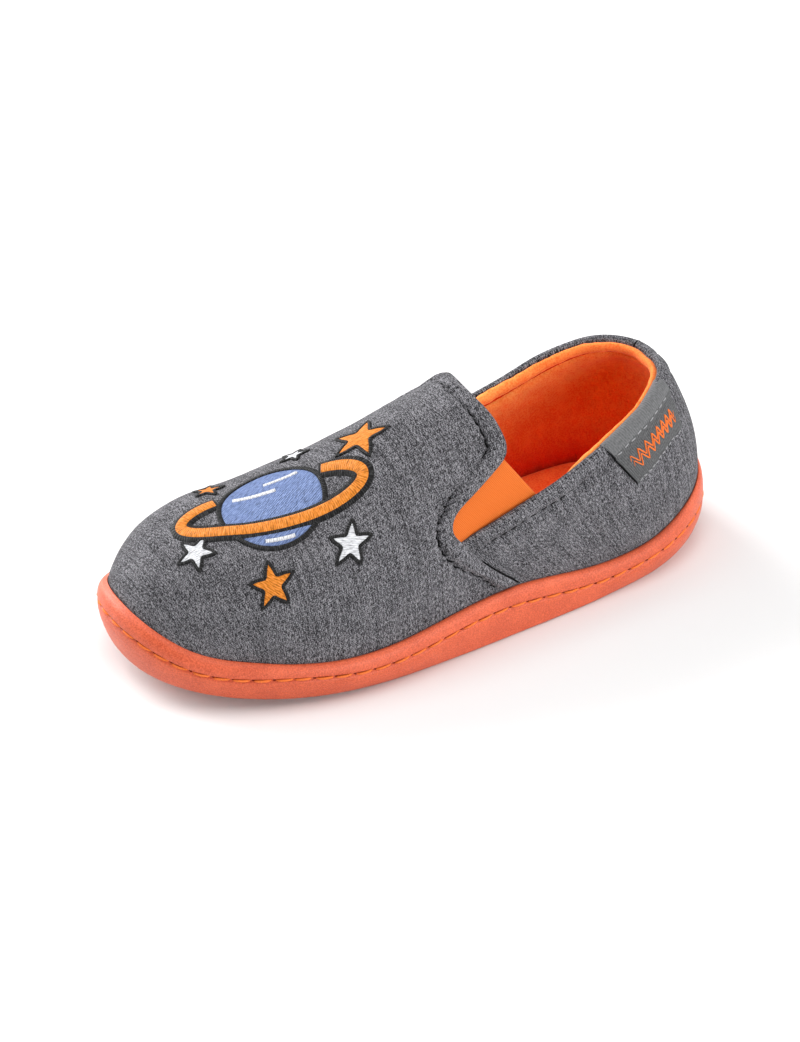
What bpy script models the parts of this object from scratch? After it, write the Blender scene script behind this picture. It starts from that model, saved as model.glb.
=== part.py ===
"""A child's slip-on slipper for the left foot: cup sole, insole, jersey upper, two gussets and a heel label.

Lengths are worked out in millimetres and put into Blender in metres. The toe points to -Y and the lateral
side to +X. A share is a part of the sole's length from the heel end, a rise a part of the upper's height, and
a turn an angle round the foot: 0 at the back of the heel, half a circle at the toe, lateral side first.
"""

import bmesh
import bpy
import numpy as np
from mathutils import Vector

MM = 0.001
FOOT_MIDDLE = Vector((0.0, 0.0, 0.03))
SHARP_ANGLE = np.radians(50)

# Sizes of the last and the sole
SOLE_LENGTH = 200.0
HEEL_ROUND_SHARE = 0.19
HEEL_ROUND_POWER = 2.6
TOE_ROUND_SHARE = 0.30
TOE_ROUND_POWER = 2.25
HEEL_CENTRE_SHARE = 0.15
TOE_CENTRE_SHARE = 0.80
TOE_SPRING = 7.6
SPRING_START_SHARE = 0.60
SPRING_POWER = 1.8

# Fit of the pieces to each other
GAP = 0.3
LIP_WALL = 3.0
TOE_SET_BACK = 0.7
SOLE_FLOOR = 5.0
INSOLE_THICKNESS = 4.0
INSOLE_GAP = 0.9
UPPER_WALL = 2.2
GUSSET_THICKNESS = 1.0
GUSSET_DEPTH = 0.6
LABEL_THICKNESS = 0.7

# Section of the upper: height where its wall starts to lean in, and how square the section is
WALL_BASE = 12.0
WALL_BASE_SPRING = 0.6
SIDE_POWER = 3.2
HEEL_POWER = 1.85
VAMP_POWER = 1.6
TOE_POWER = 2.3
HEEL_TO_VAMP_SHARES = (0.35, 0.60)
VAMP_TO_TOE_SHARES = (0.70, 0.95)
RIDGE_RISES = (0.95, 1.0)

# Bulge of the heel and the toe: how far, shares where it fades, rises where it starts, is full and ends
HEEL_BULGE = 1.5
HEEL_BULGE_SHARES = (0.04, 0.20)
TOE_BULGE = 0.9
TOE_BULGE_SHARES = (0.80, 0.95)
BULGE_RISES = (0.0, 0.22, 0.75)

# Sole sections: share, middle line towards lateral, half width, lip height lateral, lip height medial
SOLE_SECTIONS = np.array(
    (
        (0.00, 0.0, 27.0, 23.0, 23.0),
        (0.15, 0.0, 32.0, 13.5, 16.0),
        (0.27, 0.97, 32.77, 12.5, 15.4),
        (0.40, 2.2, 33.0, 16.5, 16.5),
        (0.68, 0.0, 39.0, 13.2, 13.6),
        (0.86, -5.8, 39.0, 13.2, 13.8),
        (0.94, -7.19, 38.7, 14.8, 15.2),
        (1.00, -7.8, 38.5, 20.5, 20.5),
    )
)

# Bottom edge of the sole: share, inset from the outline
SOLE_EDGE = np.array(
    (
        (0.00, 3.6),
        (0.10, 3.6),
        (0.18, 2.6),
        (0.26, 1.2),
        (0.36, 0.4),
        (0.46, 1.0),
        (0.58, 2.7),
        (0.76, 3.0),
        (0.88, 2.1),
        (1.00, 3.4),
    )
)

# Side of the sole from the ground up to its stitch groove: share of the edge's inset, more inset, share of the
# lip height
SOLE_SIDE = (
    (1.0, 0.5, 0.00),
    (0.95, 0.0, 0.03),
    (0.44, 0.0, 0.23),
    (0.0, 0.0, 0.48),
    (0.0, 0.1, 0.62),
    (0.0, 0.6, 0.65),
    (0.0, 0.1, 0.68),
)

# Side of the lip above the groove: share of the lip's inset, share of the lip height
LIP_SIDE = (
    (0.11, 0.80),
    (0.45, 0.94),
    (1.00, 1.00),
)

# Inset of the lip's top at the heel, along the sides and at the toe, and the shares where it changes
LIP_INSETS = (1.5, 1.8, 3.2)
LIP_HEEL_SHARES = (0.03, 0.12)
LIP_TOE_SHARES = (0.72, 0.95)
LIP_ROLL = 0.6
LIP_INNER_PARTS = (1.0, 0.5)
LIP_DEPTH = 1.5

# Side of the insole from below: inset from its outline, share of its thickness
INSOLE_SIDE = (
    (0.6, 0.0),
    (0.0, 0.3),
    (0.0, 0.8),
    (1.2, 1.0),
)

# Ridge of the last: share, height
CROWN = np.array(
    (
        (0.00, 66.0),
        (0.22, 72.4),
        (0.44, 72.2),
        (0.58, 63.4),
        (0.70, 54.6),
        (0.80, 50.0),
        (0.90, 47.0),
        (1.00, 45.0),
    )
)

# Rear edge of the vamp from the sole to the ridge: rise, share at the edge, share at the hem's groove
VAMP_EDGE = np.array(
    (
        (0.00, 0.376, 0.408),
        (0.08, 0.402, 0.435),
        (0.22, 0.446, 0.474),
        (0.35, 0.478, 0.511),
        (0.482, 0.503, 0.537),
        (0.557, 0.516, 0.543),
        (0.614, 0.514, 0.541),
        (0.662, 0.494, 0.534),
        (0.695, 0.461, 0.524),
        (0.728, 0.430, 0.508),
        (0.762, 0.405, 0.487),
        (0.801, 0.397, 0.447),
        (0.864, 0.398, 0.426),
        (0.930, 0.403, 0.428),
        (1.00, 0.416, 0.438),
    )
)
SLOT_RISE = 0.482
SLOT_SHARE = 0.503

# Top edge of the quarters: share, height
COLLAR = np.array(
    (
        (0.00, 61.0),
        (0.08, 60.5),
        (0.16, 57.5),
        (0.24, 52.0),
        (0.32, 47.0),
        (0.40, 43.4),
        (SLOT_SHARE, 39.3),
    )
)

# Rows of the quarter from the sole to the collar: share of the collar height, how far the hem stands out
HEM_HEIGHT = 0.7
QUARTER_ROWS = (
    (0.00, 0.0),
    (0.14, 0.0),
    (0.28, 0.0),
    (0.42, 0.0),
    (0.56, 0.0),
    (0.70, 0.0),
    (0.79, 0.1),
    (0.84, -0.4),
    (0.88, 0.5),
    (0.94, HEM_HEIGHT),
    (1.00, 0.3),
)
VAMP_ROWS = (0.52, 0.557, 0.59, 0.62, 0.65, 0.68, 0.71, 0.74, 0.77, 0.80, 0.84, 0.88, 0.92, 0.955, 0.98, 1.0)

# Columns of the vamp's hem: part of the way from edge to groove, how far the hem stands out
HEM_COLUMNS = (
    (0.00, 0.3),
    (0.30, 0.9),
    (0.72, 0.8),
    (1.00, -0.4),
)
HEM_FOOT_SHARE = 0.012
HEM_FADE = 4.0
VAMP_COLUMNS = 17
QUARTER_COLUMNS = 16

# Gusset corners: rises along the vamp's edge, shares along the collar
GUSSET_RISES = (0.512, 0.762)
GUSSET_SHARES = (0.494, 0.366)

# Label: shares of its front and rear on the collar, fall of its front and rear, slant of its front edge
LABEL_SHARES = (0.236, 0.060)
LABEL_FALL = (0.25, 0.27)
LABEL_SLANT = 0.055

SOLE_STEPS = 116


def curve_through(stations, values):
    """A natural cubic curve through one column of a table, as a function of its first column."""
    count = len(stations)
    gaps = np.diff(stations)
    slopes = np.diff(values) / gaps
    matrix = np.eye(count)
    right = np.zeros(count)
    for i in range(1, count - 1):
        matrix[i, i - 1 : i + 2] = gaps[i - 1], 2 * (gaps[i - 1] + gaps[i]), gaps[i]
        right[i] = 6 * (slopes[i] - slopes[i - 1])
    bends = np.linalg.solve(matrix, right)

    def at(where):
        where = np.asarray(where, float)
        i = np.clip(np.searchsorted(stations, where) - 1, 0, count - 2)
        back = (stations[i + 1] - where) / gaps[i]
        ahead = 1 - back
        bend = (back**3 - back) * bends[i] + (ahead**3 - ahead) * bends[i + 1]
        return back * values[i] + ahead * values[i + 1] + bend * gaps[i] ** 2 / 6

    return at


middle_line, half_width, lip_lateral, lip_medial = (
    curve_through(SOLE_SECTIONS[:, 0], SOLE_SECTIONS[:, column]) for column in (1, 2, 3, 4)
)
edge_inset = curve_through(SOLE_EDGE[:, 0], SOLE_EDGE[:, 1])
crown_height = curve_through(CROWN[:, 0], CROWN[:, 1])
collar_height = curve_through(COLLAR[:, 0], COLLAR[:, 1])
edge_share = curve_through(VAMP_EDGE[:, 0], VAMP_EDGE[:, 1])
groove_share = curve_through(VAMP_EDGE[:, 0], VAMP_EDGE[:, 2])


def ease(low, high, value):
    """0 below low, 1 above high, and a smooth step between."""
    t = np.clip((value - low) / (high - low), 0, 1)
    return t * t * (3 - 2 * t)


def share_of(turn):
    return (1 - np.cos(turn)) / 2


def turn_of(share, side):
    turn = np.arccos(np.clip(1 - 2 * np.asarray(share, float), -1, 1))
    return turn if side > 0 else 2 * np.pi - turn


def along(share):
    return SOLE_LENGTH * (0.5 - share)


def end_rounding(share):
    """How much of the half width is left where the outline rounds off at the heel and the toe."""
    heel = np.clip(1 - share / HEEL_ROUND_SHARE, 0, 1)
    toe = np.clip(1 - (1 - share) / TOE_ROUND_SHARE, 0, 1)
    heel_part = (1 - heel**HEEL_ROUND_POWER) ** (1 / HEEL_ROUND_POWER)
    return heel_part * (1 - toe**TOE_ROUND_POWER) ** (1 / TOE_ROUND_POWER)


def spring(share):
    """How far the sole lifts off the ground towards the toe."""
    return TOE_SPRING * np.clip((share - SPRING_START_SHARE) / (1 - SPRING_START_SHARE), 0, 1) ** SPRING_POWER


def lip_inset(share):
    heel, side, toe = LIP_INSETS
    return heel + (side - heel) * ease(*LIP_HEEL_SHARES, share) + (toe - side) * ease(*LIP_TOE_SHARES, share)


def lip_wall(share):
    """Thickness of the sole's wall around the upper."""
    return LIP_WALL + TOE_SET_BACK * ease(*LIP_TOE_SHARES, share)


def lip_height(turn):
    share = share_of(turn)
    return spring(share) + np.where(np.sin(turn) >= 0, lip_lateral(share), lip_medial(share))


def rib(turn):
    """Spine point, direction and reach of the rib that meets the outline at this turn."""
    share = share_of(turn)
    side = np.where(np.sin(turn) >= 0, 1.0, -1.0)
    outline = middle_line(share) + side * half_width(share) * end_rounding(share)
    spine_share = np.clip(share, HEEL_CENTRE_SHARE, TOE_CENTRE_SHARE)
    spine = np.stack([middle_line(spine_share), along(spine_share)], -1)
    arm = np.stack([outline, along(share)], -1) - spine
    reach = np.hypot(arm[..., 0], arm[..., 1])
    return spine, arm / reach[..., None], reach


def sole_point(turn, inset, height):
    spine, direction, reach = rib(turn)
    flat = spine + direction * (reach - inset)[..., None]
    return np.concatenate([flat, np.broadcast_to(height, reach.shape)[..., None]], -1)


def wall_base(turn):
    return WALL_BASE + WALL_BASE_SPRING * spring(share_of(turn))


def upper_base(turn, rise):
    """A point of the smooth outer face of the upper. A rise below 0 goes straight down into the sole."""
    share = share_of(turn)
    spine, direction, reach = rib(turn)
    power = HEEL_POWER + (VAMP_POWER - HEEL_POWER) * ease(*HEEL_TO_VAMP_SHARES, share)
    power = power + (TOE_POWER - VAMP_POWER) * ease(*VAMP_TO_TOE_SHARES, share)
    lifted = np.clip(rise, 0, 1)
    narrow = np.clip(1 - lifted**SIDE_POWER, 0, 1) ** (1 / power)
    start, full, end = BULGE_RISES
    bulge = HEEL_BULGE * (1 - ease(*HEEL_BULGE_SHARES, share)) + TOE_BULGE * ease(*TOE_BULGE_SHARES, share)
    bulge = bulge * ease(start, full, rise) * (1 - ease(full, end, rise))
    flat = spine + direction * ((reach - lip_wall(share) - GAP) * narrow + bulge)[..., None]
    base = wall_base(turn)
    foot = spring(share) + SOLE_FLOOR + GAP
    crown = crown_height(0.5 - flat[..., 1] / SOLE_LENGTH)
    height = base + (crown - base) * lifted + (base - foot) * np.minimum(rise, 0)
    return np.concatenate([flat, height[..., None]], -1)


def upper_normal(turn, rise):
    """Outward direction of the smooth upper, from two short steps along it, and the ridge's own at the top."""
    step = 0.004
    low = np.clip(rise - step, 0.01, 0.985)
    high = np.clip(rise + step, 0.015, 0.99)
    up = upper_base(turn, high) - upper_base(turn, low)
    round_foot = upper_base(turn + step, (low + high) / 2) - upper_base(turn - step, (low + high) / 2)
    side = np.cross(up, round_foot)
    side = side / np.linalg.norm(side, axis=-1, keepdims=True)
    spine_share = np.clip(share_of(turn), HEEL_CENTRE_SHARE, TOE_CENTRE_SHARE)
    fall = (crown_height(spine_share + step) - crown_height(spine_share - step)) / (2 * step * SOLE_LENGTH)
    top = np.stack([np.zeros_like(fall), fall, np.ones_like(fall)], -1)
    part = ease(*RIDGE_RISES, rise)[..., None]
    normal = side * (1 - part) + top * part
    return normal / np.linalg.norm(normal, axis=-1, keepdims=True)


def upper_point(turn, rise, out):
    """A point of the upper, moved outwards by out where it has come clear of the sole's lip."""
    base = upper_base(turn, rise)
    clear = ease(0, HEM_FADE, base[..., 2] - lip_height(turn) - 0.5)
    return base + upper_normal(turn, rise) * (out * clear)[..., None]


def collar_rise(share):
    """Rise at which the smooth upper reaches the collar's height."""
    turn = turn_of(share, 1)
    rise = np.full(np.shape(share), SLOT_RISE)
    for _ in range(12):
        short = collar_height(share) - upper_base(turn, rise)[..., 2]
        rise = np.clip(rise + short / CROWN[0, 1], 0.1, 0.95)
    return np.where(share >= SLOT_SHARE, SLOT_RISE, rise)


def vamp_half(side):
    """Grid of one side of the vamp, from the sole to the ridge and from the rear edge to the toe."""
    rows = [-1.0] + [row[0] * SLOT_RISE for row in QUARTER_ROWS] + list(VAMP_ROWS)
    grid = []
    for rise in rows:
        edge = edge_share(max(rise, 0))
        groove = groove_share(max(rise, 0))
        shares = [edge + (groove - edge) * part for part, _ in HEM_COLUMNS]
        outs = [out for _, out in HEM_COLUMNS]
        foot = turn_of(groove + HEM_FOOT_SHARE, 1)
        turns = np.concatenate([turn_of(shares, 1), np.linspace(foot, np.pi, VAMP_COLUMNS)])
        outs = np.concatenate([outs, np.zeros(VAMP_COLUMNS)])
        turns = turns if side > 0 else 2 * np.pi - turns
        grid.append(upper_point(turns, np.full(len(turns), rise), outs))
    return np.array(grid)


def quarter_half(side):
    """Grid of one quarter, from the sole to the collar and from the back of the heel to the vamp's edge."""
    parts = np.linspace(0, 1, QUARTER_COLUMNS + 1)
    edge_out = HEM_COLUMNS[0][1]
    collar_turn = turn_of(SLOT_SHARE, 1) * parts
    top = collar_rise(share_of(collar_turn))
    top[-1] = SLOT_RISE
    grid = []
    for share_up, out in ((-1.0, 0.0),) + QUARTER_ROWS:
        front = turn_of(edge_share(max(share_up, 0) * SLOT_RISE), 1)
        turns = front * parts
        outs = np.full(len(parts), out)
        outs[-1] = edge_out
        rises = share_up * top if share_up > 0 else np.full(len(parts), share_up)
        turns = turns if side > 0 else 2 * np.pi - turns
        grid.append(upper_point(turns, rises, outs))
    return np.array(grid)


def gusset_surface(side, rows=9, columns=6):
    """Outer face of a gusset: straight lines from the vamp's edge to the collar, let into the wall."""
    grid = []
    for part in np.linspace(0, 1, rows):
        rise = GUSSET_RISES[0] + (GUSSET_RISES[1] - GUSSET_RISES[0]) * part
        share = GUSSET_SHARES[0] + (GUSSET_SHARES[1] - GUSSET_SHARES[0]) * part
        front = upper_point(turn_of(edge_share(rise), side), np.float64(rise), np.float64(-GUSSET_DEPTH))
        rear_rise = collar_rise(np.float64(share))
        rear = upper_point(turn_of(share, side), rear_rise, np.float64(-GUSSET_DEPTH))
        length = np.linalg.norm(rear - front)
        shift = 2 * GAP / length
        grid.append([front + (rear - front) * t for t in np.linspace(shift, 1 - shift, columns)])
    return np.array(grid)


def label_surface(rows=7, columns=11):
    """Outer face of the label, lying over the collar's hem."""
    stand_off = HEM_HEIGHT + GAP + LABEL_THICKNESS
    grid = []
    for down in np.linspace(0, 1, rows):
        line = []
        for part in np.linspace(0, 1, columns):
            share = LABEL_SHARES[0] + (LABEL_SHARES[1] - LABEL_SHARES[0]) * part
            fall = LABEL_FALL[0] + (LABEL_FALL[1] - LABEL_FALL[0]) * part
            rise = collar_rise(np.float64(share)) - fall * down
            turn = turn_of(share - LABEL_SLANT * (1 - part) * down, 1)
            line.append(upper_point(turn, rise, np.float64(stand_off)))
        grid.append(line)
    return np.array(grid)


def add_grid(mesh, grid):
    """Quads between neighbouring points of a grid."""
    points = [[mesh.verts.new(point * MM) for point in row] for row in grid]
    for low, high in zip(points[:-1], points[1:]):
        for corners in zip(low[:-1], low[1:], high[1:], high[:-1]):
            mesh.faces.new(corners)


def face_outwards(mesh):
    """Turns all faces away from the middle of the foot."""
    bmesh.ops.recalc_face_normals(mesh, faces=mesh.faces)
    outwards = 0.0
    for face in mesh.faces:
        outwards += face.calc_area() * face.normal.dot(face.calc_center_median() - FOOT_MIDDLE)
    if outwards < 0:
        bmesh.ops.reverse_faces(mesh, faces=mesh.faces)


def solid_from_grids(name, grids, colour, wall=0.0):
    """One object from grids that meet at their edges. A wall thickens an open surface inwards."""
    mesh = bmesh.new()
    for grid in grids:
        add_grid(mesh, grid - np.array([SIDE_MIDDLE, 0.0, 0.0]))
    bmesh.ops.remove_doubles(mesh, verts=mesh.verts, dist=0.00001)
    bmesh.ops.dissolve_degenerate(mesh, edges=mesh.edges, dist=0.000001)
    face_outwards(mesh)
    data = bpy.data.meshes.new(name)
    mesh.to_mesh(data)
    mesh.free()
    piece = bpy.data.objects.new(name, data)
    piece_collection.objects.link(piece)
    material = bpy.data.materials.new(name)
    material.use_nodes = True
    material.node_tree.nodes["Principled BSDF"].inputs["Base Color"].default_value = (*colour, 1.0)
    material.node_tree.nodes["Principled BSDF"].inputs["Roughness"].default_value = 0.8
    data.materials.append(material)
    data.shade_smooth()
    data.set_sharp_from_angle(angle=SHARP_ANGLE)
    if wall:
        shell = piece.modifiers.new("wall", "SOLIDIFY")
        shell.thickness = wall * MM
        shell.offset = -1.0
    return piece


def across(ring):
    """Grid that closes a ring by lines from its lateral to its medial side."""
    half = len(ring) // 2
    return np.stack([ring[: half + 1], ring[::-1][: half + 1]])


def outsole_rings():
    turns = np.linspace(0, 2 * np.pi, SOLE_STEPS + 1)
    share = share_of(turns)
    under = spring(share)
    lip = lip_height(turns)
    side = [(edge_inset(share) * part + more, up) for part, more, up in SOLE_SIDE]
    side += [(lip_inset(share) * part, up) for part, up in LIP_SIDE]
    rings = [sole_point(turns, inset, under + (lip - under) * up) for inset, up in side]
    base = wall_base(turns)
    low = np.minimum(base, lip - LIP_DEPTH)
    for part in LIP_INNER_PARTS:
        height = low + (lip - low) * part
        rise = (height - base) / (crown_height(np.minimum(share, TOE_CENTRE_SHARE)) - base)
        inner = upper_base(turns, np.maximum(rise, 0))[:, :2] + rib(turns)[1] * GAP
        rings.append(np.concatenate([inner, (height - LIP_ROLL * part)[:, None]], -1))
    rings.append(sole_point(turns, lip_wall(share), low))
    rings.append(sole_point(turns, lip_wall(share), under + SOLE_FLOOR))
    return np.array(rings)


def insole_rings():
    turns = np.linspace(0, 2 * np.pi, SOLE_STEPS + 1)
    bottom = spring(share_of(turns)) + SOLE_FLOOR + GAP
    inset = lip_wall(share_of(turns)) + GAP + UPPER_WALL + INSOLE_GAP
    rings = [sole_point(turns, inset + more, bottom + INSOLE_THICKNESS * up) for more, up in INSOLE_SIDE]
    return np.array(rings)


def closed_solid(name, rings, colour):
    return solid_from_grids(name, [rings, across(rings[0]), across(rings[-1])], colour)


for old in list(bpy.data.objects):
    bpy.data.objects.remove(old)
piece_collection = bpy.data.collections.new("moccasin_slipper")
bpy.context.scene.collection.children.link(piece_collection)

ORANGE_RUBBER = (0.79, 0.19, 0.09)
ORANGE_FELT = (0.80, 0.12, 0.02)
ORANGE_ELASTIC = (0.90, 0.20, 0.04)
GREY_JERSEY = (0.13, 0.13, 0.14)
GREY_TAPE = (0.19, 0.19, 0.20)

outline_turns = np.linspace(0, 2 * np.pi, 721)
outline_sides = sole_point(outline_turns, 0.0, 0.0)[:, 0]
SIDE_MIDDLE = (outline_sides.min() + outline_sides.max()) / 2

closed_solid("outsole", outsole_rings(), ORANGE_RUBBER)
closed_solid("insole", insole_rings(), ORANGE_FELT)
upper_grids = [vamp_half(1), vamp_half(-1), quarter_half(1), quarter_half(-1)]
solid_from_grids("upper", upper_grids, GREY_JERSEY, UPPER_WALL)
solid_from_grids("elastic_lateral", [gusset_surface(1)], ORANGE_ELASTIC, GUSSET_THICKNESS)
solid_from_grids("elastic_medial", [gusset_surface(-1)], ORANGE_ELASTIC, GUSSET_THICKNESS)
solid_from_grids("heel_label", [label_surface()], GREY_TAPE, LABEL_THICKNESS)
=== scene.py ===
"""Looks of the slipper: jersey, fleece, ribbed elastic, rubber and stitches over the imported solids.

Lengths are in millimetres until a mesh is made. A share is a part of the sole's length from the heel end, a
rise a part of the upper's height, and a turn an angle round the foot: 0 at the back of the heel, half a
circle at the toe, lateral side first. A side is 1 for lateral and -1 for medial. Out is a distance outwards
from the upper.
"""

import bmesh
import bpy
import numpy as np
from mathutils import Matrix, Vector


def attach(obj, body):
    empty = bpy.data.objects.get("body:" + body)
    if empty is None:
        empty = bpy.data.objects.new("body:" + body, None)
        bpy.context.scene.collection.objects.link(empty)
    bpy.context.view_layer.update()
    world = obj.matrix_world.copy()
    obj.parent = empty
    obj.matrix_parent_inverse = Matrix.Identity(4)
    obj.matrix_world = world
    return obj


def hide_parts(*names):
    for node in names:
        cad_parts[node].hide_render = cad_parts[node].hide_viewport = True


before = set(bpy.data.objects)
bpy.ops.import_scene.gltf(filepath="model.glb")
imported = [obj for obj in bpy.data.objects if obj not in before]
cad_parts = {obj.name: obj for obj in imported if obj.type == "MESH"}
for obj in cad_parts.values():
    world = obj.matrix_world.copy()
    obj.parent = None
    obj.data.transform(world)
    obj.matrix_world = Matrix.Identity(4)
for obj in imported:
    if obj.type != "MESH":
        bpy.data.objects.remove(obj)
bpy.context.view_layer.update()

MM = 0.001
CIRCLE = 2 * np.pi
FOOT_MIDDLE = Vector((0.0, 0.0, 0.03))

# Sizes of the last and the sole, as in the part
SOLE_LENGTH = 200.0
HEEL_ROUND_SHARE = 0.19
HEEL_ROUND_POWER = 2.6
TOE_ROUND_SHARE = 0.30
TOE_ROUND_POWER = 2.25
HEEL_CENTRE_SHARE = 0.15
TOE_CENTRE_SHARE = 0.80
TOE_SPRING = 7.6
SPRING_START_SHARE = 0.60
SPRING_POWER = 1.8
GAP = 0.3
LIP_WALL = 3.0
TOE_SET_BACK = 0.7
SOLE_FLOOR = 5.0
INSOLE_THICKNESS = 4.0
INSOLE_INSET = 3.4
WALL_BASE = 12.0
WALL_BASE_SPRING = 0.6
SIDE_POWER = 3.2
HEEL_POWER = 1.85
VAMP_POWER = 1.6
TOE_POWER = 2.3
HEEL_TO_VAMP_SHARES = (0.35, 0.60)
VAMP_TO_TOE_SHARES = (0.70, 0.95)
HEEL_BULGE = 1.5
HEEL_BULGE_SHARES = (0.04, 0.20)
TOE_BULGE = 0.9
TOE_BULGE_SHARES = (0.80, 0.95)
BULGE_RISES = (0.0, 0.22, 0.75)

# Sole sections: share, middle line towards lateral, half width, lip height lateral and medial
SOLE_SECTIONS = np.array((
    (0.00, 0.0, 27.0, 23.0, 23.0),
    (0.15, 0.0, 32.0, 13.5, 16.0),
    (0.27, 0.97, 32.77, 12.5, 15.4),
    (0.40, 2.2, 33.0, 16.5, 16.5),
    (0.68, 0.0, 39.0, 13.2, 13.6),
    (0.86, -5.8, 39.0, 13.2, 13.8),
    (0.94, -7.19, 38.7, 14.8, 15.2),
    (1.00, -7.8, 38.5, 20.5, 20.5),
))

# Inset of the lip's top at heel, sides and toe, and the shares where it changes
LIP_INSETS = (1.5, 1.8, 3.2)
LIP_HEEL_SHARES = (0.03, 0.12)
LIP_TOE_SHARES = (0.72, 0.95)

# Bottom edge of the sole: share, inset from the outline
SOLE_EDGE = np.array((
    (0.00, 3.6), (0.10, 3.6), (0.18, 2.6), (0.26, 1.2), (0.36, 0.4),
    (0.46, 1.0), (0.58, 2.7), (0.76, 3.0), (0.88, 2.1), (1.00, 3.4),
))

# Side of the sole below its stitches: share of the edge's inset, more inset, share of the way up
SOLE_SIDE = np.array((
    (1.00, 0.80, 0.000), (1.00, 0.40, 0.008), (1.00, 0.15, 0.022), (0.97, 0.03, 0.045),
    (0.85, 0.0, 0.10), (0.63, 0.0, 0.22), (0.40, 0.0, 0.38), (0.19, 0.0, 0.56),
    (0.05, 0.0, 0.74), (0.0, 0.05, 0.90), (0.0, 0.16, 1.00),
))

# Side of the lip above its stitches: share of the lip's inset, share of the way up to the lip's top
LIP_SIDE = np.array((
    (0.07, 0.00), (0.03, 0.15), (0.05, 0.30), (0.12, 0.48),
    (0.26, 0.68), (0.47, 0.84), (0.72, 0.94), (1.00, 1.00),
))

# Top of the lip: part of the way in to the cloth, drop below the lip's height
LIP_TOP = ((0.35, -0.08), (0.7, -0.04), (0.92, 0.12), (1.0, 0.4), (1.0, 2.5))
LIP_TOP_GAP = 0.05

# Height of the sole's stitch line: share, share of the lip height
STITCH_LINE = np.array((
    (0.00, 0.60), (0.14, 0.68), (0.27, 0.60), (0.48, 0.70),
    (0.68, 0.645), (0.78, 0.70), (0.88, 0.625), (1.00, 0.72),
))
CREASE_DEPTH = 0.75
CREASE_WIDTH = 0.55
CREASE_SHARES = (0.1, 0.4)
SOLE_PITCH = 6.3
LOOSE_THREAD_TURN = 3.14
LOOSE_THREAD_RISE = 4.6

# Side of the insole: more inset, share of its thickness
INSOLE_SIDE = ((0.4, 0.0), (0.0, 0.3), (0.1, 0.5), (0.6, 0.74), (1.4, 0.9), (2.6, 0.98), (4.0, 1.0))
INSOLE_DISH = 0.15

# Ridge of the last: share, height
CROWN = np.array((
    (0.00, 66.0), (0.22, 72.4), (0.44, 72.2), (0.58, 63.4),
    (0.70, 54.6), (0.80, 50.0), (0.90, 47.0), (1.00, 45.0),
))

# Outward directions: rises where the ridge's own takes over, limits and length of the steps for the others
RIDGE_RISES = (0.95, 1.0)
LOW_STEP_RISES = (0.01, 0.985)
HIGH_STEP_RISES = (0.015, 0.99)
SHORT_STEP = 0.004

# Rear edge of the vamp from the sole up: rise, share at the edge, share at the hem's groove
VAMP_EDGE = np.array((
    (0.00, 0.376, 0.408), (0.08, 0.402, 0.435), (0.22, 0.446, 0.474),
    (0.35, 0.478, 0.511), (0.482, 0.503, 0.537), (0.557, 0.516, 0.543),
    (0.614, 0.514, 0.541), (0.662, 0.494, 0.534), (0.695, 0.461, 0.524),
    (0.728, 0.430, 0.508), (0.762, 0.405, 0.487), (0.801, 0.397, 0.447),
    (0.864, 0.398, 0.426), (0.930, 0.403, 0.428), (1.00, 0.416, 0.438),
))
SLOT_RISE = 0.482
SLOT_SHARE = 0.503

# Top edge of the quarters: share, height
COLLAR = np.array((
    (0.00, 61.0), (0.08, 60.5), (0.16, 57.5), (0.24, 52.0),
    (0.32, 47.0), (0.40, 43.4), (SLOT_SHARE, 39.3),
))
COLLAR_RISES = (0.1, 0.95)

# Vamp's hem across its width: part of the way from edge to groove, how far it stands out
VAMP_HEM = np.array((
    (0.10, 0.70), (0.22, 0.98), (0.40, 1.15), (0.60, 1.10), (0.76, 0.90), (0.88, 0.50), (0.95, -0.25),
    (1.00, -0.80), (1.05, -0.30), (1.13, 0.15), (1.34, 0.28), (1.70, 0.14), (2.20, 0.0),
))
VAMP_HEM_ROLL = 0.75
VAMP_HEM_LIFT = 0.8
VAMP_HEM_LIFT_RISES = (SLOT_RISE - 0.06, SLOT_RISE + 0.06)
VAMP_GROOVE = -0.55
# Part of the slot's rise up to which the vamp's rear edge has a line of painted shadow
VAMP_SHADOW_TOP = 0.66
HEM_PITCH = 3.8

# Where the vamp's groove is faint: rise, width in rise, how much of it is filled
VAMP_FAINT_RISE = 0.778
VAMP_FAINT_WIDTH = 0.028
VAMP_FAINT_FILL = 0.8

# Puckers of the vamp's hem: middle and width of its puff, depth at the stitches, depth on the puff
PUFF_PLACE = (0.55, 0.32)
PUCKER_DEPTH = 0.26
PUFF_DEPTH = 0.10

# Slow swells along the vamp's hem: depth, length, phase, middle and width across the hem
HEM_SWELLS = ((0.12, 5.3, 0.0, *PUFF_PLACE), (-0.25, 6.1, 1.0, 1.0, 0.1))

# Columns of the vamp's hem: first and last part of the way to the groove, count
VAMP_HEM_COLUMNS = ((0.10, 0.82, 13), (0.85, 1.15, 17), (1.2, 2.2, 12))

# Rows of the vamp inside the sole: rises and distances along its edge
VAMP_FOOT_RISES = (-0.9, -0.4)
VAMP_FOOT_DISTANCES = (-4.0, -2.0)

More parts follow.
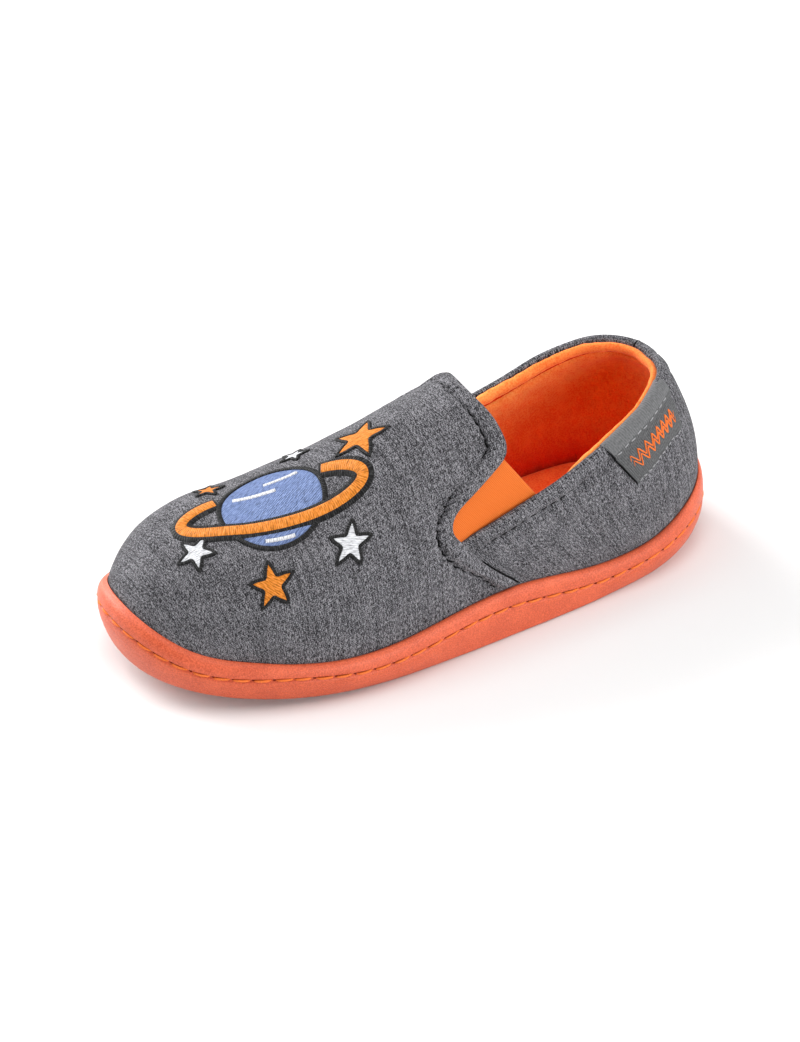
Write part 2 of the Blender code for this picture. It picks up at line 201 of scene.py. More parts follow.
# Collar's hem from its top down: distance below the collar, how far it stands out
COLLAR_HEM = np.array((
    (1.4, 0.55), (2.4, 0.90), (3.6, 0.95), (4.3, 0.75), (4.9, 0.30), (5.4, -0.30), (5.8, -0.60),
    (6.3, -0.30), (7.1, 0.10), (8.2, 0.25), (11.0, 0.08), (15.0, 0.0), (90.0, 0.0),
))
COLLAR_ROLL = 1.4
COLLAR_GROOVE = 5.8
COLLAR_HEM_DEPTH = 8.6
COLLAR_PUCKER = 0.12
COLLAR_FAINT_SHARES = (0.25, 0.38)
COLLAR_FAINT = 0.3
TUCKED_PARTS = (0.958, 0.998)
HEEL_SEAM = 0.35
HEEL_SEAM_WIDTH = 0.8
BACK_SEAM_COLUMN = 20
BACK_SEAM_ROWS = slice(1, 16)
WALL_FOOT_HEIGHT = 7.0
WALL_FOOT_FALL = 5.0

# Lining from its rolled edge down: distance below the collar, depth inside the outer face
LINING_EDGE = np.array((
    (2.6, 1.7), (0.9, 1.9), (-0.2, 2.3), (-0.5, 2.9), (-0.2, 3.6), (0.7, 4.25), (1.9, 4.5), (2.9, 4.35),
    (3.9, 3.85), (4.75, 2.35), (5.35, 2.3), (6.2, 3.7), (8.5, 4.1), (12.0, 3.7), (18.0, 3.1),
))
LINING_DEPTH = 2.9
LINING_GROOVE = (5.05, 2.85)
LINING_SINK = 3.4
LINING_SINK_SHARES = {1: (0.255, 0.345), -1: (0.335, 0.40)}
LINING_SINK_END = (7.0, 18.0)
LINING_PUCKER = 0.15

# Nap of the lining: depth, size and seed of its waves
LINING_NAP = ((0.10, 3.5, 3), (0.18, 16.0, 5))

# Gusset corners: rises along the vamp's edge, shares along the collar
GUSSET_RISES = (0.492, 0.762)
GUSSET_SHARES = (0.503, 0.357)
GUSSET_THICKNESS = 1.0

# Depths of the gusset inside the upper: under the vamp, at its edge, at the collar, below the collar
GUSSET_DEPTHS = (1.9, 1.0, 2.2, 2.5)
GUSSET_DROPS = (0.015, 0.07)

# Label: shares and falls of its front and rear, slant of its front edge
LABEL_SHARES = (0.236, 0.060)
LABEL_FALL = (0.25, 0.27)
LABEL_SLANT = 0.055
LABEL_RISE_LENGTH = 62.0
LABEL_STAND_OFF = 0.15
LABEL_THICKNESS = 0.4
LABEL_STRIP = 3.9
ZIGZAG_SPAN = (0.09, 0.90)
ZIGZAG_PEAKS = 8
ZIGZAG_HEIGHT = 3.6
ZIGZAG_MIDDLES = (8.6, 10.4)

# Soft creases of the cloth: share and rise of one end and of the other, depth, width
CREASES = (
    (0.478, 0.40, 0.430, 0.22, 0.55, 1.8),
    (0.600, 0.92, 0.640, 0.52, 0.28, 5.0),
    (0.680, 0.80, 0.700, 0.40, 0.22, 4.5),
    (0.330, 0.36, 0.250, 0.22, 0.30, 4.0),
    (0.150, 0.60, 0.060, 0.40, 0.30, 5.0),
)

# Unevenness of the cloth: slow waves, tucks just above the sole, heights above the lip where it starts
SLOW_WAVE_DEPTH = 0.22
SLOW_WAVE_SIZE = 26.0
TUCK_DEPTH = 0.12
TUCK_COUNT = 46
TUCK_HEIGHT = 6.0
UNEVEN_HEIGHTS = (0.3, 4.0)
HEM_HEIGHTS = (-0.5, 3.0)
WAVE_COUNT = 5
WAVE_SIZES = (0.7, 1.5)

# Meshes: distances in metres at which points join and faces are empty, sides of a thread, points of a stitch
JOIN_DISTANCE = 0.000004
EMPTY_DISTANCE = 0.0000005
THREAD_SIDES = 7
STITCH_POINTS = 9

# Slanted direction, across which the sides of a thread are laid
THREAD_SLANT = np.array((0.31, 0.52, 0.79))

# Painted shade of lining and insole: colours by height, and the part of each colour left between tufts
FLEECE_TOP = 70.0
# Lining: darker and redder lower down inside the slipper, as painted shade
LINING_SHADED_COLOURS = (
    (11.0, (0.80, 0.055, 0.008)),
    (24.0, (0.98, 0.28, 0.058)),
    (44.0, (0.99, 0.40, 0.105)),
    (56.0, (0.99, 0.30, 0.070)),
    (66.0, (0.96, 0.20, 0.050)),
)
# Insole: near black low on its edge, painted shade in the crease where the lining meets it
INSOLE_SHADED_COLOURS = (
    (8.1, (0.30, 0.010, 0.002)),
    (9.0, (0.95, 0.15, 0.03)),
    (9.5, (0.98, 0.19, 0.045)),
)
TUFT_SHADE = (0.92, 0.58, 0.48)
TUFT_CONTRAST = (6.0, -2.4)

# Colours of the other materials: place in the pattern's range, colour
JERSEY_COLOURS = (
    (0.41, (0.006, 0.006, 0.007)),
    (0.495, (0.058, 0.0567, 0.0625)),
    (0.592, (0.285, 0.279, 0.299)),
)
RUBBER_COLOURS = ((0.38, (0.455, 0.064, 0.024)), (0.62, (0.685, 0.126, 0.050)))
ELASTIC_COLOURS = ((0.1, (0.59, 0.105, 0.010)), (0.9, (0.69, 0.166, 0.025)))
TAPE_COLOURS = ((0.12, (0.046, 0.047, 0.049)), (0.75, (0.215, 0.216, 0.221)))
SATIN_COLOURS = {
    "blue": (0.125, 0.178, 0.345),
    "orange": (0.60, 0.188, 0.018),
    "white": (0.58, 0.585, 0.61),
    "black": (0.007, 0.007, 0.0075),
}

# Floor, in metres
FLOOR_COLOUR = (0.77, 0.77, 0.77, 1.0)
FLOOR_SIZE = 8.0
FLOOR_HEIGHT = -0.0002

# Embroidery on the vamp: middle of the design laid flat, and the direction of its level line
DESIGN_MIDDLE = np.array((3.7, -47.0))
DESIGN_TURN = np.radians(51)
FILL_LIFT = 0.5
BORDER_LIFT = 0.62
PLANET_SIZE = (16.0, 16.0)
PLANET_PLACE = (-3.0, 1.0)
PLANET_BORDER = 1.7
RING_SIZE = (28.0, 8.5)
RING_TURN = np.radians(20)

# Bands of the planet's ring: colour, start and end in degrees, width, lift
RING_BANDS = (("black", -236, 56, 6.8, 0.72), ("orange", -234, 54, 4.4, 0.95))

# Bands of cloud on the planet: start and end across it, height, width
CLOUD_BANDS = ((-11.0, 2.0, 4.6, 1.9), (-1.0, 9.5, 9.0, 1.6), (-4.0, 5.0, -13.4, 1.4))
CLOUD_BOW = 0.012
CLOUD_LIFT = 0.75

# Stars of the embroidery: place to the right, place upwards, size, turn, colour
STARS = (
    (20.0, 24.0, 9.0, 0.2, "orange"),
    (24.0, -10.0, 7.0, 0.5, "white"),
    (-23.0, -18.5, 6.5, 0.0, "white"),
    (3.0, -25.5, 7.5, 0.8, "orange"),
    (-25.0, 12.0, 5.0, 0.4, "orange"),
    (-1.0, 26.0, 4.5, 0.1, "white"),
)
STAR_BORDER = 1.2
STAR_NOTCH = 0.56

# Soft lights: name, place in metres, size, power
LIGHTS = (
    ("top_light", (0.0, 0.0, 1.8), 1.6, 27.0),
    ("heel_light", (0.7, 1.5, 0.8), 1.2, 16.0),
    ("lateral_light", (1.6, 0.3, 0.45), 1.0, 23.0),
    ("toe_light", (-0.6, -1.5, 0.9), 1.2, 13.0),
    ("medial_light", (-1.5, -0.6, 0.8), 1.2, 52.0),
)
WORLD_STRENGTH = 0.02

# Camera: angles round the shoe and above the floor, distance in metres, lens, shifts of the picture
CAMERA_ROUND = np.radians(60.119)
CAMERA_ABOVE = np.radians(36.940)
CAMERA_DISTANCE = 1.8
CAMERA_LENS = 201.18
CAMERA_SHIFT = (-0.0103, 0.0680)


def curve_through(stations, values):
    """A natural cubic curve through values at stations, as a function."""
    count = len(stations)
    gaps = np.diff(stations)
    slopes = np.diff(values) / gaps
    matrix = np.eye(count)
    for i in range(1, count - 1):
        matrix[i, i - 1 : i + 2] = gaps[i - 1], 2 * (gaps[i - 1] + gaps[i]), gaps[i]
    bends = np.linalg.solve(matrix, np.pad(6 * np.diff(slopes), 1))

    def at(where):
        where = np.asarray(where, float)
        i = np.clip(np.searchsorted(stations, where) - 1, 0, count - 2)
        back = (stations[i + 1] - where) / gaps[i]
        ahead = 1 - back
        bend = (back**3 - back) * bends[i] + (ahead**3 - ahead) * bends[i + 1]
        return back * values[i] + ahead * values[i + 1] + bend * gaps[i] ** 2 / 6

    return at


middle_line, half_width, lip_lateral, lip_medial = (
    curve_through(SOLE_SECTIONS[:, 0], column) for column in SOLE_SECTIONS.T[1:]
)
crown_height = curve_through(*CROWN.T)
collar_height = curve_through(*COLLAR.T)
edge_share = curve_through(*VAMP_EDGE.T[:2])
groove_share = curve_through(*VAMP_EDGE.T[::2])
stitch_share = curve_through(*STITCH_LINE.T)
edge_inset = curve_through(*SOLE_EDGE.T)
lip_side_part = curve_through(*LIP_SIDE.T[::-1])


def ease(low, high, value):
    """0 below low, 1 above high, and a smooth step between."""
    t = np.clip((value - low) / (high - low), 0, 1)
    return t * t * (3 - 2 * t)


def bell(value, width):
    return np.exp(-((value / width) ** 2))


def unit(vectors):
    return vectors / np.linalg.norm(vectors, axis=-1, keepdims=True)


def pairs(first, second):
    return np.stack(np.broadcast_arrays(first, second), -1)


def with_height(flat, height):
    return np.concatenate([flat, np.broadcast_to(height, flat.shape[:-1])[..., None]], -1)


def length_along(points):
    """Distance from the first point of each line to its other points. Lines run down the first axis."""
    steps = np.linalg.norm(np.diff(points, axis=0), axis=-1)
    return np.concatenate([np.zeros_like(steps[:1]), np.cumsum(steps, axis=0)])


def soft_waves(points, size, seed):
    """Smooth unevenness from a few waves in random directions."""
    rng = np.random.default_rng(seed)
    total = np.zeros(points.shape[:-1])
    for _ in range(WAVE_COUNT):
        direction = rng.normal(size=3)
        direction *= CIRCLE / (size * rng.uniform(*WAVE_SIZES)) / np.linalg.norm(direction)
        total += np.sin(points @ direction + rng.uniform(0, CIRCLE))
    return total / np.sqrt(WAVE_COUNT)


# The last and the sole


def share_of(turn):
    return (1 - np.cos(turn)) / 2


def on_side(turn, side):
    return turn if side > 0 else CIRCLE - turn


def turn_of(share, side):
    return on_side(np.arccos(np.clip(1 - 2 * np.asarray(share, float), -1, 1)), side)


def along(share):
    return SOLE_LENGTH * (0.5 - share)


def end_rounding(share):
    """Part of the half width that is left where the outline rounds off."""
    heel = np.clip(1 - share / HEEL_ROUND_SHARE, 0, 1)
    toe = np.clip(1 - (1 - share) / TOE_ROUND_SHARE, 0, 1)
    heel_part = (1 - heel**HEEL_ROUND_POWER) ** (1 / HEEL_ROUND_POWER)
    return heel_part * (1 - toe**TOE_ROUND_POWER) ** (1 / TOE_ROUND_POWER)


def spring(share):
    """How far the sole lifts off the ground towards the toe."""
    part = np.clip((share - SPRING_START_SHARE) / (1 - SPRING_START_SHARE), 0, 1)
    return TOE_SPRING * part**SPRING_POWER


def lip_inset(share):
    heel, side, toe = LIP_INSETS
    return heel + (side - heel) * ease(*LIP_HEEL_SHARES, share) + (toe - side) * ease(*LIP_TOE_SHARES, share)


def lip_wall(share):
    """Thickness of the sole's wall around the upper."""
    return LIP_WALL + TOE_SET_BACK * ease(*LIP_TOE_SHARES, share)


def lip_height(turn):
    share = share_of(turn)
    return spring(share) + np.where(np.sin(turn) >= 0, lip_lateral(share), lip_medial(share))


def rib(turn):
    """Spine point, direction and reach of the rib at a turn."""
    share = share_of(turn)
    side = np.where(np.sin(turn) >= 0, 1.0, -1.0)
    outline = middle_line(share) + side * half_width(share) * end_rounding(share)
    spine_share = np.clip(share, HEEL_CENTRE_SHARE, TOE_CENTRE_SHARE)
    spine = pairs(middle_line(spine_share), along(spine_share))
    arm = pairs(outline, along(share)) - spine
    reach = np.hypot(arm[..., 0], arm[..., 1])
    return spine, arm / reach[..., None], reach


def sole_point(turn, inset, height):
    spine, direction, reach = rib(turn)
    return with_height(spine + direction * (reach - inset)[..., None], height)


def wall_base(turn):
    return WALL_BASE + WALL_BASE_SPRING * spring(share_of(turn))


def upper_base(turn, rise):
    """A point of the smooth upper. A rise below 0 goes straight down into the sole."""
    share = share_of(turn)
    spine, direction, reach = rib(turn)
    power = HEEL_POWER + (VAMP_POWER - HEEL_POWER) * ease(*HEEL_TO_VAMP_SHARES, share)
    power = power + (TOE_POWER - VAMP_POWER) * ease(*VAMP_TO_TOE_SHARES, share)
    lifted = np.clip(rise, 0, 1)
    narrow = np.clip(1 - lifted**SIDE_POWER, 0, 1) ** (1 / power)
    start, full, end = BULGE_RISES
    bulge = HEEL_BULGE * (1 - ease(*HEEL_BULGE_SHARES, share)) + TOE_BULGE * ease(*TOE_BULGE_SHARES, share)
    bulge = bulge * ease(start, full, rise) * (1 - ease(full, end, rise))
    flat = spine + direction * ((reach - lip_wall(share) - GAP) * narrow + bulge)[..., None]
    base = wall_base(turn)
    foot = spring(share) + SOLE_FLOOR + GAP
    crown = crown_height(0.5 - flat[..., 1] / SOLE_LENGTH)
    return with_height(flat, base + (crown - base) * lifted + (base - foot) * np.minimum(rise, 0))


def upper_normal(turn, rise):
    """Outward direction of the smooth upper, and of the ridge at its top."""
    low = np.clip(rise - SHORT_STEP, *LOW_STEP_RISES)
    high = np.clip(rise + SHORT_STEP, *HIGH_STEP_RISES)
    middle = (low + high) / 2
    up = upper_base(turn, high) - upper_base(turn, low)
    round_foot = upper_base(turn + SHORT_STEP, middle) - upper_base(turn - SHORT_STEP, middle)
    side = unit(np.cross(up, round_foot))
    spine_share = np.clip(share_of(turn), HEEL_CENTRE_SHARE, TOE_CENTRE_SHARE)
    drop = crown_height(spine_share + SHORT_STEP) - crown_height(spine_share - SHORT_STEP)
    fall = drop / (2 * SHORT_STEP * SOLE_LENGTH)
    top = np.stack([np.zeros_like(fall), fall, np.ones_like(fall)], -1)
    part = ease(*RIDGE_RISES, rise)[..., None]
    return unit(side * (1 - part) + top * part)


def upper_point(turn, rise, out):
    """A point at a distance out of the smooth upper."""
    return upper_base(turn, rise) + upper_normal(turn, rise) * out


def collar_rise(share, tries=12):
    """Rise at which the smooth upper reaches the collar's height."""
    turn = turn_of(share, 1)
    rise = np.full(np.shape(share), SLOT_RISE)
    for _ in range(tries):
        short = collar_height(share) - upper_base(turn, rise)[..., 2]
        rise = np.clip(rise + short / CROWN[0, 1], *COLLAR_RISES)
    return np.where(share >= SLOT_SHARE, SLOT_RISE, rise)


# Meshes


def grid_faces(rows, columns, first):
    index = first + np.arange(rows * columns).reshape(rows, columns)
    return np.stack([index[:-1, :-1], index[:-1, 1:], index[1:, 1:], index[1:, :-1]], -1).reshape(-1, 4)


def face_outwards(mesh, facing):
    """Turns all faces away from the foot's middle, or towards it if facing is below 0."""
    outwards = 0.0
    for face in mesh.faces:
        outwards += face.calc_area() * face.normal.dot(face.calc_center_median() - FOOT_MIDDLE)
    if outwards * facing < 0:
        bmesh.ops.reverse_faces(mesh, faces=mesh.faces)


def grid_mesh(name, grids):
    """Mesh in metres from grids of points."""
    faces = []
    first = 0
    for grid in grids:
        rows, columns = grid.shape[:2]
        faces.append(grid_faces(rows, columns, first))
        first += rows * columns
    points = np.concatenate([grid.reshape(-1, 3) for grid in grids])
    points = (points - np.array([SIDE_MIDDLE, 0.0, 0.0])) * MM
    data = bpy.data.meshes.new(name)
    data.from_pydata(points.tolist(), [], np.concatenate(faces).tolist())
    return data


def lay_flat(data, cloths):
    """Layer of a mesh with its grids laid flat in millimetres."""
    flat = np.concatenate([cloth.reshape(-1, 2) for cloth in cloths])
    corner = np.zeros(len(data.loops), int)
    data.loops.foreach_get("vertex_index", corner)
    layer = data.uv_layers.new(name="cloth")
    layer.data.foreach_set("uv", flat[corner].ravel())


def mesh_piece(name, material, slot, grids, cloths=(), nodes=(), facing=1, joined=True):
    """One smooth piece from grids of points that meet at their edges. Cloths are the grids laid flat."""
    data = grid_mesh(name, grids)
    if cloths:
        lay_flat(data, cloths)
    mesh = bmesh.new()
    mesh.from_mesh(data)
    bmesh.ops.remove_doubles(mesh, verts=mesh.verts, dist=JOIN_DISTANCE)
    bmesh.ops.dissolve_degenerate(mesh, edges=mesh.edges, dist=EMPTY_DISTANCE)
    if joined:
        bmesh.ops.recalc_face_normals(mesh, faces=mesh.faces)
    face_outwards(mesh, facing)
    mesh.to_mesh(data)
    mesh.free()
    data.shade_smooth()
    data.materials.append(material)
    piece = bpy.data.objects.new(name, data)
    bpy.context.scene.collection.objects.link(piece)
    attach(piece, "root")
    if nodes:
        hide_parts(*nodes)
    return piece


def add_wall(piece, thickness, offset):
    """Thickens a sheet: inwards with an offset of -1, outwards with 1."""
    wall = piece.modifiers.new("wall", "SOLIDIFY")
    wall.thickness = thickness * MM
    wall.offset = offset


def both_sides(make):
    return [make(1), make(-1)]


def rolled_edge(edge, ahead, normal, radius, count):
    """Rows round a folded edge, from its inside to just before its outer face."""
    rows = []
    for angle in np.linspace(np.pi, 0, count + 1)[:-1]:
        around = ahead * np.sin(angle) + normal * (np.cos(angle) - 1)
        rows.append(edge + around * radius)
    return rows


def thread(path, radius):
    """Grid of a thread along a path, thinner at its two ends."""
    forward = unit(np.gradient(path, axis=0))
    across = unit(np.cross(forward, THREAD_SLANT))
    over = np.cross(forward, across)
    part = np.linspace(-1, 1, len(path))
    thick = radius * np.sqrt(np.clip(1.02 - part**6, 0.02, 1))
    angles = np.linspace(0, CIRCLE, THREAD_SIDES + 1)
    ring = across[:, None] * np.cos(angles)[:, None] + over[:, None] * np.sin(angles)[:, None]
    return path[:, None] + ring * thick[:, None, None]


def thread_piece(name, paths, radius, material, slot):
    """One piece from several threads of one thickness."""
    mesh_piece(name, material, slot, [thread(path, radius) for path in paths])


def points_at(distances, where, line):
    return np.stack([np.interp(distances, where, column) for column in line.T], -1)


def stitch_paths(line, normals, pitch, length, bow, seed, sink=0.0, shift=0.0, lean=0.12, slant=0.0):
    """Slanted stitches along a line: each bows out in its middle and dives in at its ends."""
    rng = np.random.default_rng(seed)
    where = length_along(line)
    starts = np.arange(0.3 * pitch, where[-1] - pitch, pitch)
    starts = starts + shift + rng.normal(0, 0.05 * pitch, len(starts))
    part = np.linspace(0, 1, STITCH_POINTS)
    lift = bow * np.sin(np.pi * part) ** 0.6 - sink
    paths = []
    for start in starts:
        distances = start + length * part
        path = points_at(distances, where, line)
        up = unit(points_at(distances, where, normals))
        across = unit(np.cross(up, np.gradient(path, axis=0)))
        aside = rng.normal(0, lean) + (part - 0.5) * rng.normal(slant, 2 * lean)
        paths.append(path + up * lift[:, None] + across * aside[:, None])
    return paths


# Materials


def add_node(tree, kind, inputs, **settings):
    """A shader node. Inputs are values or the sockets that they come from."""
    made = tree.nodes.new(kind)
    for name, value in settings.items():
        setattr(made, name, value)
    for name, value in inputs.items():
        if isinstance(value, bpy.types.NodeSocket):
            tree.links.new(value, made.inputs[name])
        else:
            made.inputs[name].default_value = value
    return made


def calculate(tree, operation, first, second=0.0, third=0.0):
    return add_node(tree, "ShaderNodeMath", {0: first, 1: second, 2: third}, operation=operation).outputs[0]


def mix_of(tree, *parts):
    """Sum of values, each with its own weight."""
    total = None
    for value, weight in parts:
        weighed = calculate(tree, "MULTIPLY", value, weight)
        total = weighed if total is None else calculate(tree, "ADD", total, weighed)
    return total


def scaled(tree, place, scale):
    return add_node(tree, "ShaderNodeMapping", {"Vector": place, "Scale": scale}).outputs["Vector"]


def along_axis(tree, place, axis):
    return add_node(tree, "ShaderNodeSeparateXYZ", {"Vector": place}).outputs[axis]


def cloth_place(tree):
    """The place on the piece laid flat, in millimetres."""
    return add_node(tree, "ShaderNodeUVMap", {}, uv_map="cloth").outputs["UV"]


def solid_place(tree):
    """The place in the solid, in millimetres."""
    place = add_node(tree, "ShaderNodeTexCoord", {}).outputs["Object"]
    return scaled(tree, place, (1 / MM, 1 / MM, 1 / MM))


def wave(tree, place, axis, pitch):
    """Even waves along one direction of a place."""
    turn = calculate(tree, "MULTIPLY", along_axis(tree, place, axis), CIRCLE / pitch)
    return calculate(tree, "SINE", turn)


def noise(tree, place, scale, detail=2.0, rough=0.5):
    inputs = {"Vector": place, "Scale": scale, "Detail": detail, "Roughness": rough}
    return add_node(tree, "ShaderNodeTexNoise", inputs).outputs["Fac"]


def cloth_noise(tree, scale, detail=2.0, rough=0.5):
    """Noise on the piece laid flat, with a scale for each of its directions."""
    return noise(tree, scaled(tree, cloth_place(tree), (*scale, 1.0)), 1.0, detail, rough)


def ramp(tree, value, stops):
    """Colours along a value: place and colour of each stop."""
    made = add_node(tree, "ShaderNodeValToRGB", {"Fac": value})
    colours = made.color_ramp.elements
    while len(colours) < len(stops):
        colours.new(0.5)
    for element, (place, colour) in zip(colours, stops):
        element.position = place
        element.color = (*colour, 1.0)
    return made.outputs["Color"]


def start_material(name, roughness, specular, sheen=0.0):
    """A material with plain constants, and its tree and main shader."""
    material = bpy.data.materials.new(name)
    material.use_nodes = True
    tree = material.node_tree
    main = tree.nodes["Principled BSDF"]
    main.inputs["Roughness"].default_value = roughness
    main.inputs["Specular IOR Level"].default_value = specular
    main.inputs["Sheen Weight"].default_value = sheen
    main.inputs["Sheen Roughness"].default_value = 0.5
    return material, tree, main


def set_look(tree, main, colour, height, strength, distance):
    """Gives the main shader a colour and a bump of a height, strength and depth."""
    tree.links.new(colour, main.inputs["Base Color"])
    inputs = {"Height": height, "Strength": strength, "Distance": distance * MM}
    tree.links.new(add_node(tree, "ShaderNodeBump", inputs).outputs["Normal"], main.inputs["Normal"])


def jersey_material():
    """Grey marl knit: flecks, dashes, long streaks, soft patches and fine knit lines."""
    material, tree, main = start_material("grey_jersey", roughness=0.9, specular=0.08, sheen=0.06)
    place = solid_place(tree)
    fleck = noise(tree, place, 3.6, detail=1.0, rough=0.6)
    dash = cloth_noise(tree, (0.85, 4.4), detail=1.0)
    streak = cloth_noise(tree, (0.06, 1.1))
    patch = noise(tree, place, 0.16)
    course = wave(tree, cloth_place(tree), "X", pitch=0.68)
    total = mix_of(tree, (fleck, 0.40), (dash, 0.40), (streak, 0.14), (patch, 0.06), (course, 0.016))
    height = mix_of(tree, (fleck, 0.8), (dash, 1.0), (course, 0.12))
    set_look(tree, main, ramp(tree, total, JERSEY_COLOURS), height, strength=0.5, distance=0.25)
    return material


def fleece_material(name, colours):
    """Soft orange nap with short tufts; colours by height in millimetres and between tufts paint shade."""
    material, tree, main = start_material(name, roughness=0.95, specular=0.05, sheen=0.1)
    place = solid_place(tree)
    tuft = noise(tree, place, 1.7, detail=3.0, rough=0.6)
    total = mix_of(tree, (tuft, 0.7), (noise(tree, place, 0.18), 0.3))
    part = calculate(tree, "DIVIDE", along_axis(tree, place, "Z"), FLEECE_TOP)
    light = ramp(tree, part, [(up / FLEECE_TOP, colour) for up, colour in colours])
    # Each colour darkened by TUFT_SHADE where the tuft noise is low: painted shade between tufts
    dark = ramp(tree, part, [(up / FLEECE_TOP, np.multiply(colour, TUFT_SHADE)) for up, colour in colours])
    tuft_part = calculate(tree, "MULTIPLY_ADD", total, *TUFT_CONTRAST)
    mixed = add_node(tree, "ShaderNodeMix", {0: tuft_part, 6: dark, 7: light}, data_type="RGBA")
    set_look(tree, main, mixed.outputs[2], tuft, strength=0.7, distance=0.5)
    return material


def rubber_material(name, tread=0.0):
    """Matt orange rubber with a fine leather grain, ribbed where it is a tread."""
    material, tree, main = start_material(name, roughness=0.42, specular=0.35)
    place = solid_place(tree)
    grain = noise(tree, place, 2.2, rough=0.7)
    total = mix_of(tree, (grain, 0.8), (noise(tree, place, 0.12), 0.2))
    height = mix_of(tree, (grain, 1.0), (wave(tree, place, "Y", pitch=3.2), tread))
    set_look(tree, main, ramp(tree, total, RUBBER_COLOURS), height, strength=0.6, distance=0.25 + tread)
    return material


def elastic_material():
    """Bright elastic with fine ribs along its length."""
    material, tree, main = start_material("orange_elastic", roughness=0.75, specular=0.15, sheen=0.05)
    place = cloth_place(tree)
    ribs = wave(tree, place, "Y", pitch=0.52)
    weave = mix_of(tree, (ribs, 1.0), (wave(tree, place, "X", pitch=0.50), 0.7))
    shade = calculate(tree, "MULTIPLY_ADD", weave, 0.3, 0.5)
    set_look(tree, main, ramp(tree, shade, ELASTIC_COLOURS), weave, strength=0.5, distance=0.1)
    return material


def tape_material():
    """Woven grey tape with fine ribs across, paler in its folded strip."""
    material, tree, main = start_material("grey_tape", roughness=0.7, specular=0.15, sheen=0.05)
    place = cloth_place(tree)
    ribs = wave(tree, place, "X", pitch=0.75)
    fleck = cloth_noise(tree, (2.4, 1.2), detail=1.0)
    strip = calculate(tree, "LESS_THAN", along_axis(tree, place, "Y"), LABEL_STRIP)
    total = mix_of(tree, (fleck, 0.5), (ribs, 0.06), (strip, 0.15))
    set_look(tree, main, ramp(tree, total, TAPE_COLOURS), ribs, strength=0.4, distance=0.1)
    return material


def satin_material(name, colour):
    """Embroidery thread: fine shiny strands side by side."""
    material, tree, main = start_material(name, roughness=0.5, specular=0.12, sheen=0.03)
    strand = wave(tree, cloth_place(tree), "X", pitch=0.62)
    vary = cloth_noise(tree, (1.9, 0.5), rough=0.6)
    dark = tuple(0.5 * part for part in colour)
    pale = tuple(min(1.0, 1.25 * part + 0.04) for part in colour)
    shade = mix_of(tree, (strand, 0.07), (vary, 1.0))
    height = mix_of(tree, (strand, 0.5), (vary, 1.0))
    stops = ((0.3, dark), (0.5, colour), (0.72, pale))
    set_look(tree, main, ramp(tree, shade, stops), height, strength=0.6, distance=0.2)
    return material


def thread_material(name, colour, roughness):
    """Sewing thread and dark lines of painted shade and shadow, slightly uneven in colour."""
    material, tree, main = start_material(name, roughness, specular=0.08)
    grain = noise(tree, solid_place(tree), 3.0, detail=1.0)
    dark = tuple(0.75 * part for part in colour)
    tree.links.new(ramp(tree, grain, ((0.3, dark), (0.7, colour))), main.inputs["Base Color"])
    return material


# The upper laid flat: distance from the ridge down the upper, for a table of turns and rises
RIB_TURNS = np.linspace(0, CIRCLE, 361)
RIB_STEPS = 120
RIB_RISES = 1 - np.linspace(0, 1, RIB_STEPS + 1) ** 2
RIB_LENGTHS = length_along(upper_base(RIB_TURNS, np.repeat(RIB_RISES[:, None], len(RIB_TURNS), 1))).T
JUST_INSIDE = 1.001


def table_row(turn):
    """Row of the table of distances at a turn, between its rows."""
    at_turn = np.clip(turn / RIB_TURNS[1], 0, len(RIB_TURNS) - JUST_INSIDE)
    i = at_turn.astype(int)
    part = (at_turn - i)[..., None]
    return RIB_LENGTHS[i] * (1 - part) + RIB_LENGTHS[i + 1] * part


def between(rows, at):
    """Value of each row at a broken index."""
    k = np.clip(at, 0, rows.shape[-1] - JUST_INSIDE).astype(int)[..., None]
    low = np.take_along_axis(rows, k, -1)[..., 0]
    high = np.take_along_axis(rows, k + 1, -1)[..., 0]
    return low + (high - low) * (at - k[..., 0])


def laid_flat(turn, rise):
    """The vamp laid flat: each rib unrolled from the ridge in its own direction."""
    spine, direction, _ = rib(turn)
    at_rise = np.sqrt(np.clip(1 - rise, 0, 0.9999)) * RIB_STEPS
    return spine + direction * between(table_row(turn), at_rise)[..., None]


def vamp_place(flat):
    """Turn and rise of a point of the vamp laid flat."""
    share = 0.5 - flat[..., 1] / SOLE_LENGTH
    aside = flat[..., 0] - middle_line(np.minimum(share, TOE_CENTRE_SHARE))
    ahead = np.clip(along(TOE_CENTRE_SHARE) - flat[..., 1], 0, None)
    fan_turns = np.linspace(turn_of(TOE_CENTRE_SHARE, 1), turn_of(TOE_CENTRE_SHARE, -1), 200)
    fan = rib(fan_turns)[1]
    fan_turn = np.interp(-np.arctan2(aside, ahead), -np.arctan2(fan[:, 0], -fan[:, 1]), fan_turns)
    side_turn = np.where(aside >= 0, turn_of(share, 1), turn_of(share, -1))
    turn = np.where(ahead > 0, fan_turn, side_turn)
    length = np.hypot(aside, ahead)
    rows = table_row(turn)
    k = np.clip((rows < length[..., None]).sum(-1) - 1, 0, RIB_STEPS - 1)
    low = between(rows, k)
    step = k + (length - low) / (between(rows, k + 1) - low)
    return turn, 1 - (step / RIB_STEPS) ** 2


# Unevenness of the cloth


def above_lip(points, turns):
    return points[..., 2] - lip_height(turns)


def clear_of_lip(points, turns):
    """0 in the sole and 1 where the hems have their full form above it."""
    return ease(*HEM_HEIGHTS, above_lip(points, turns))


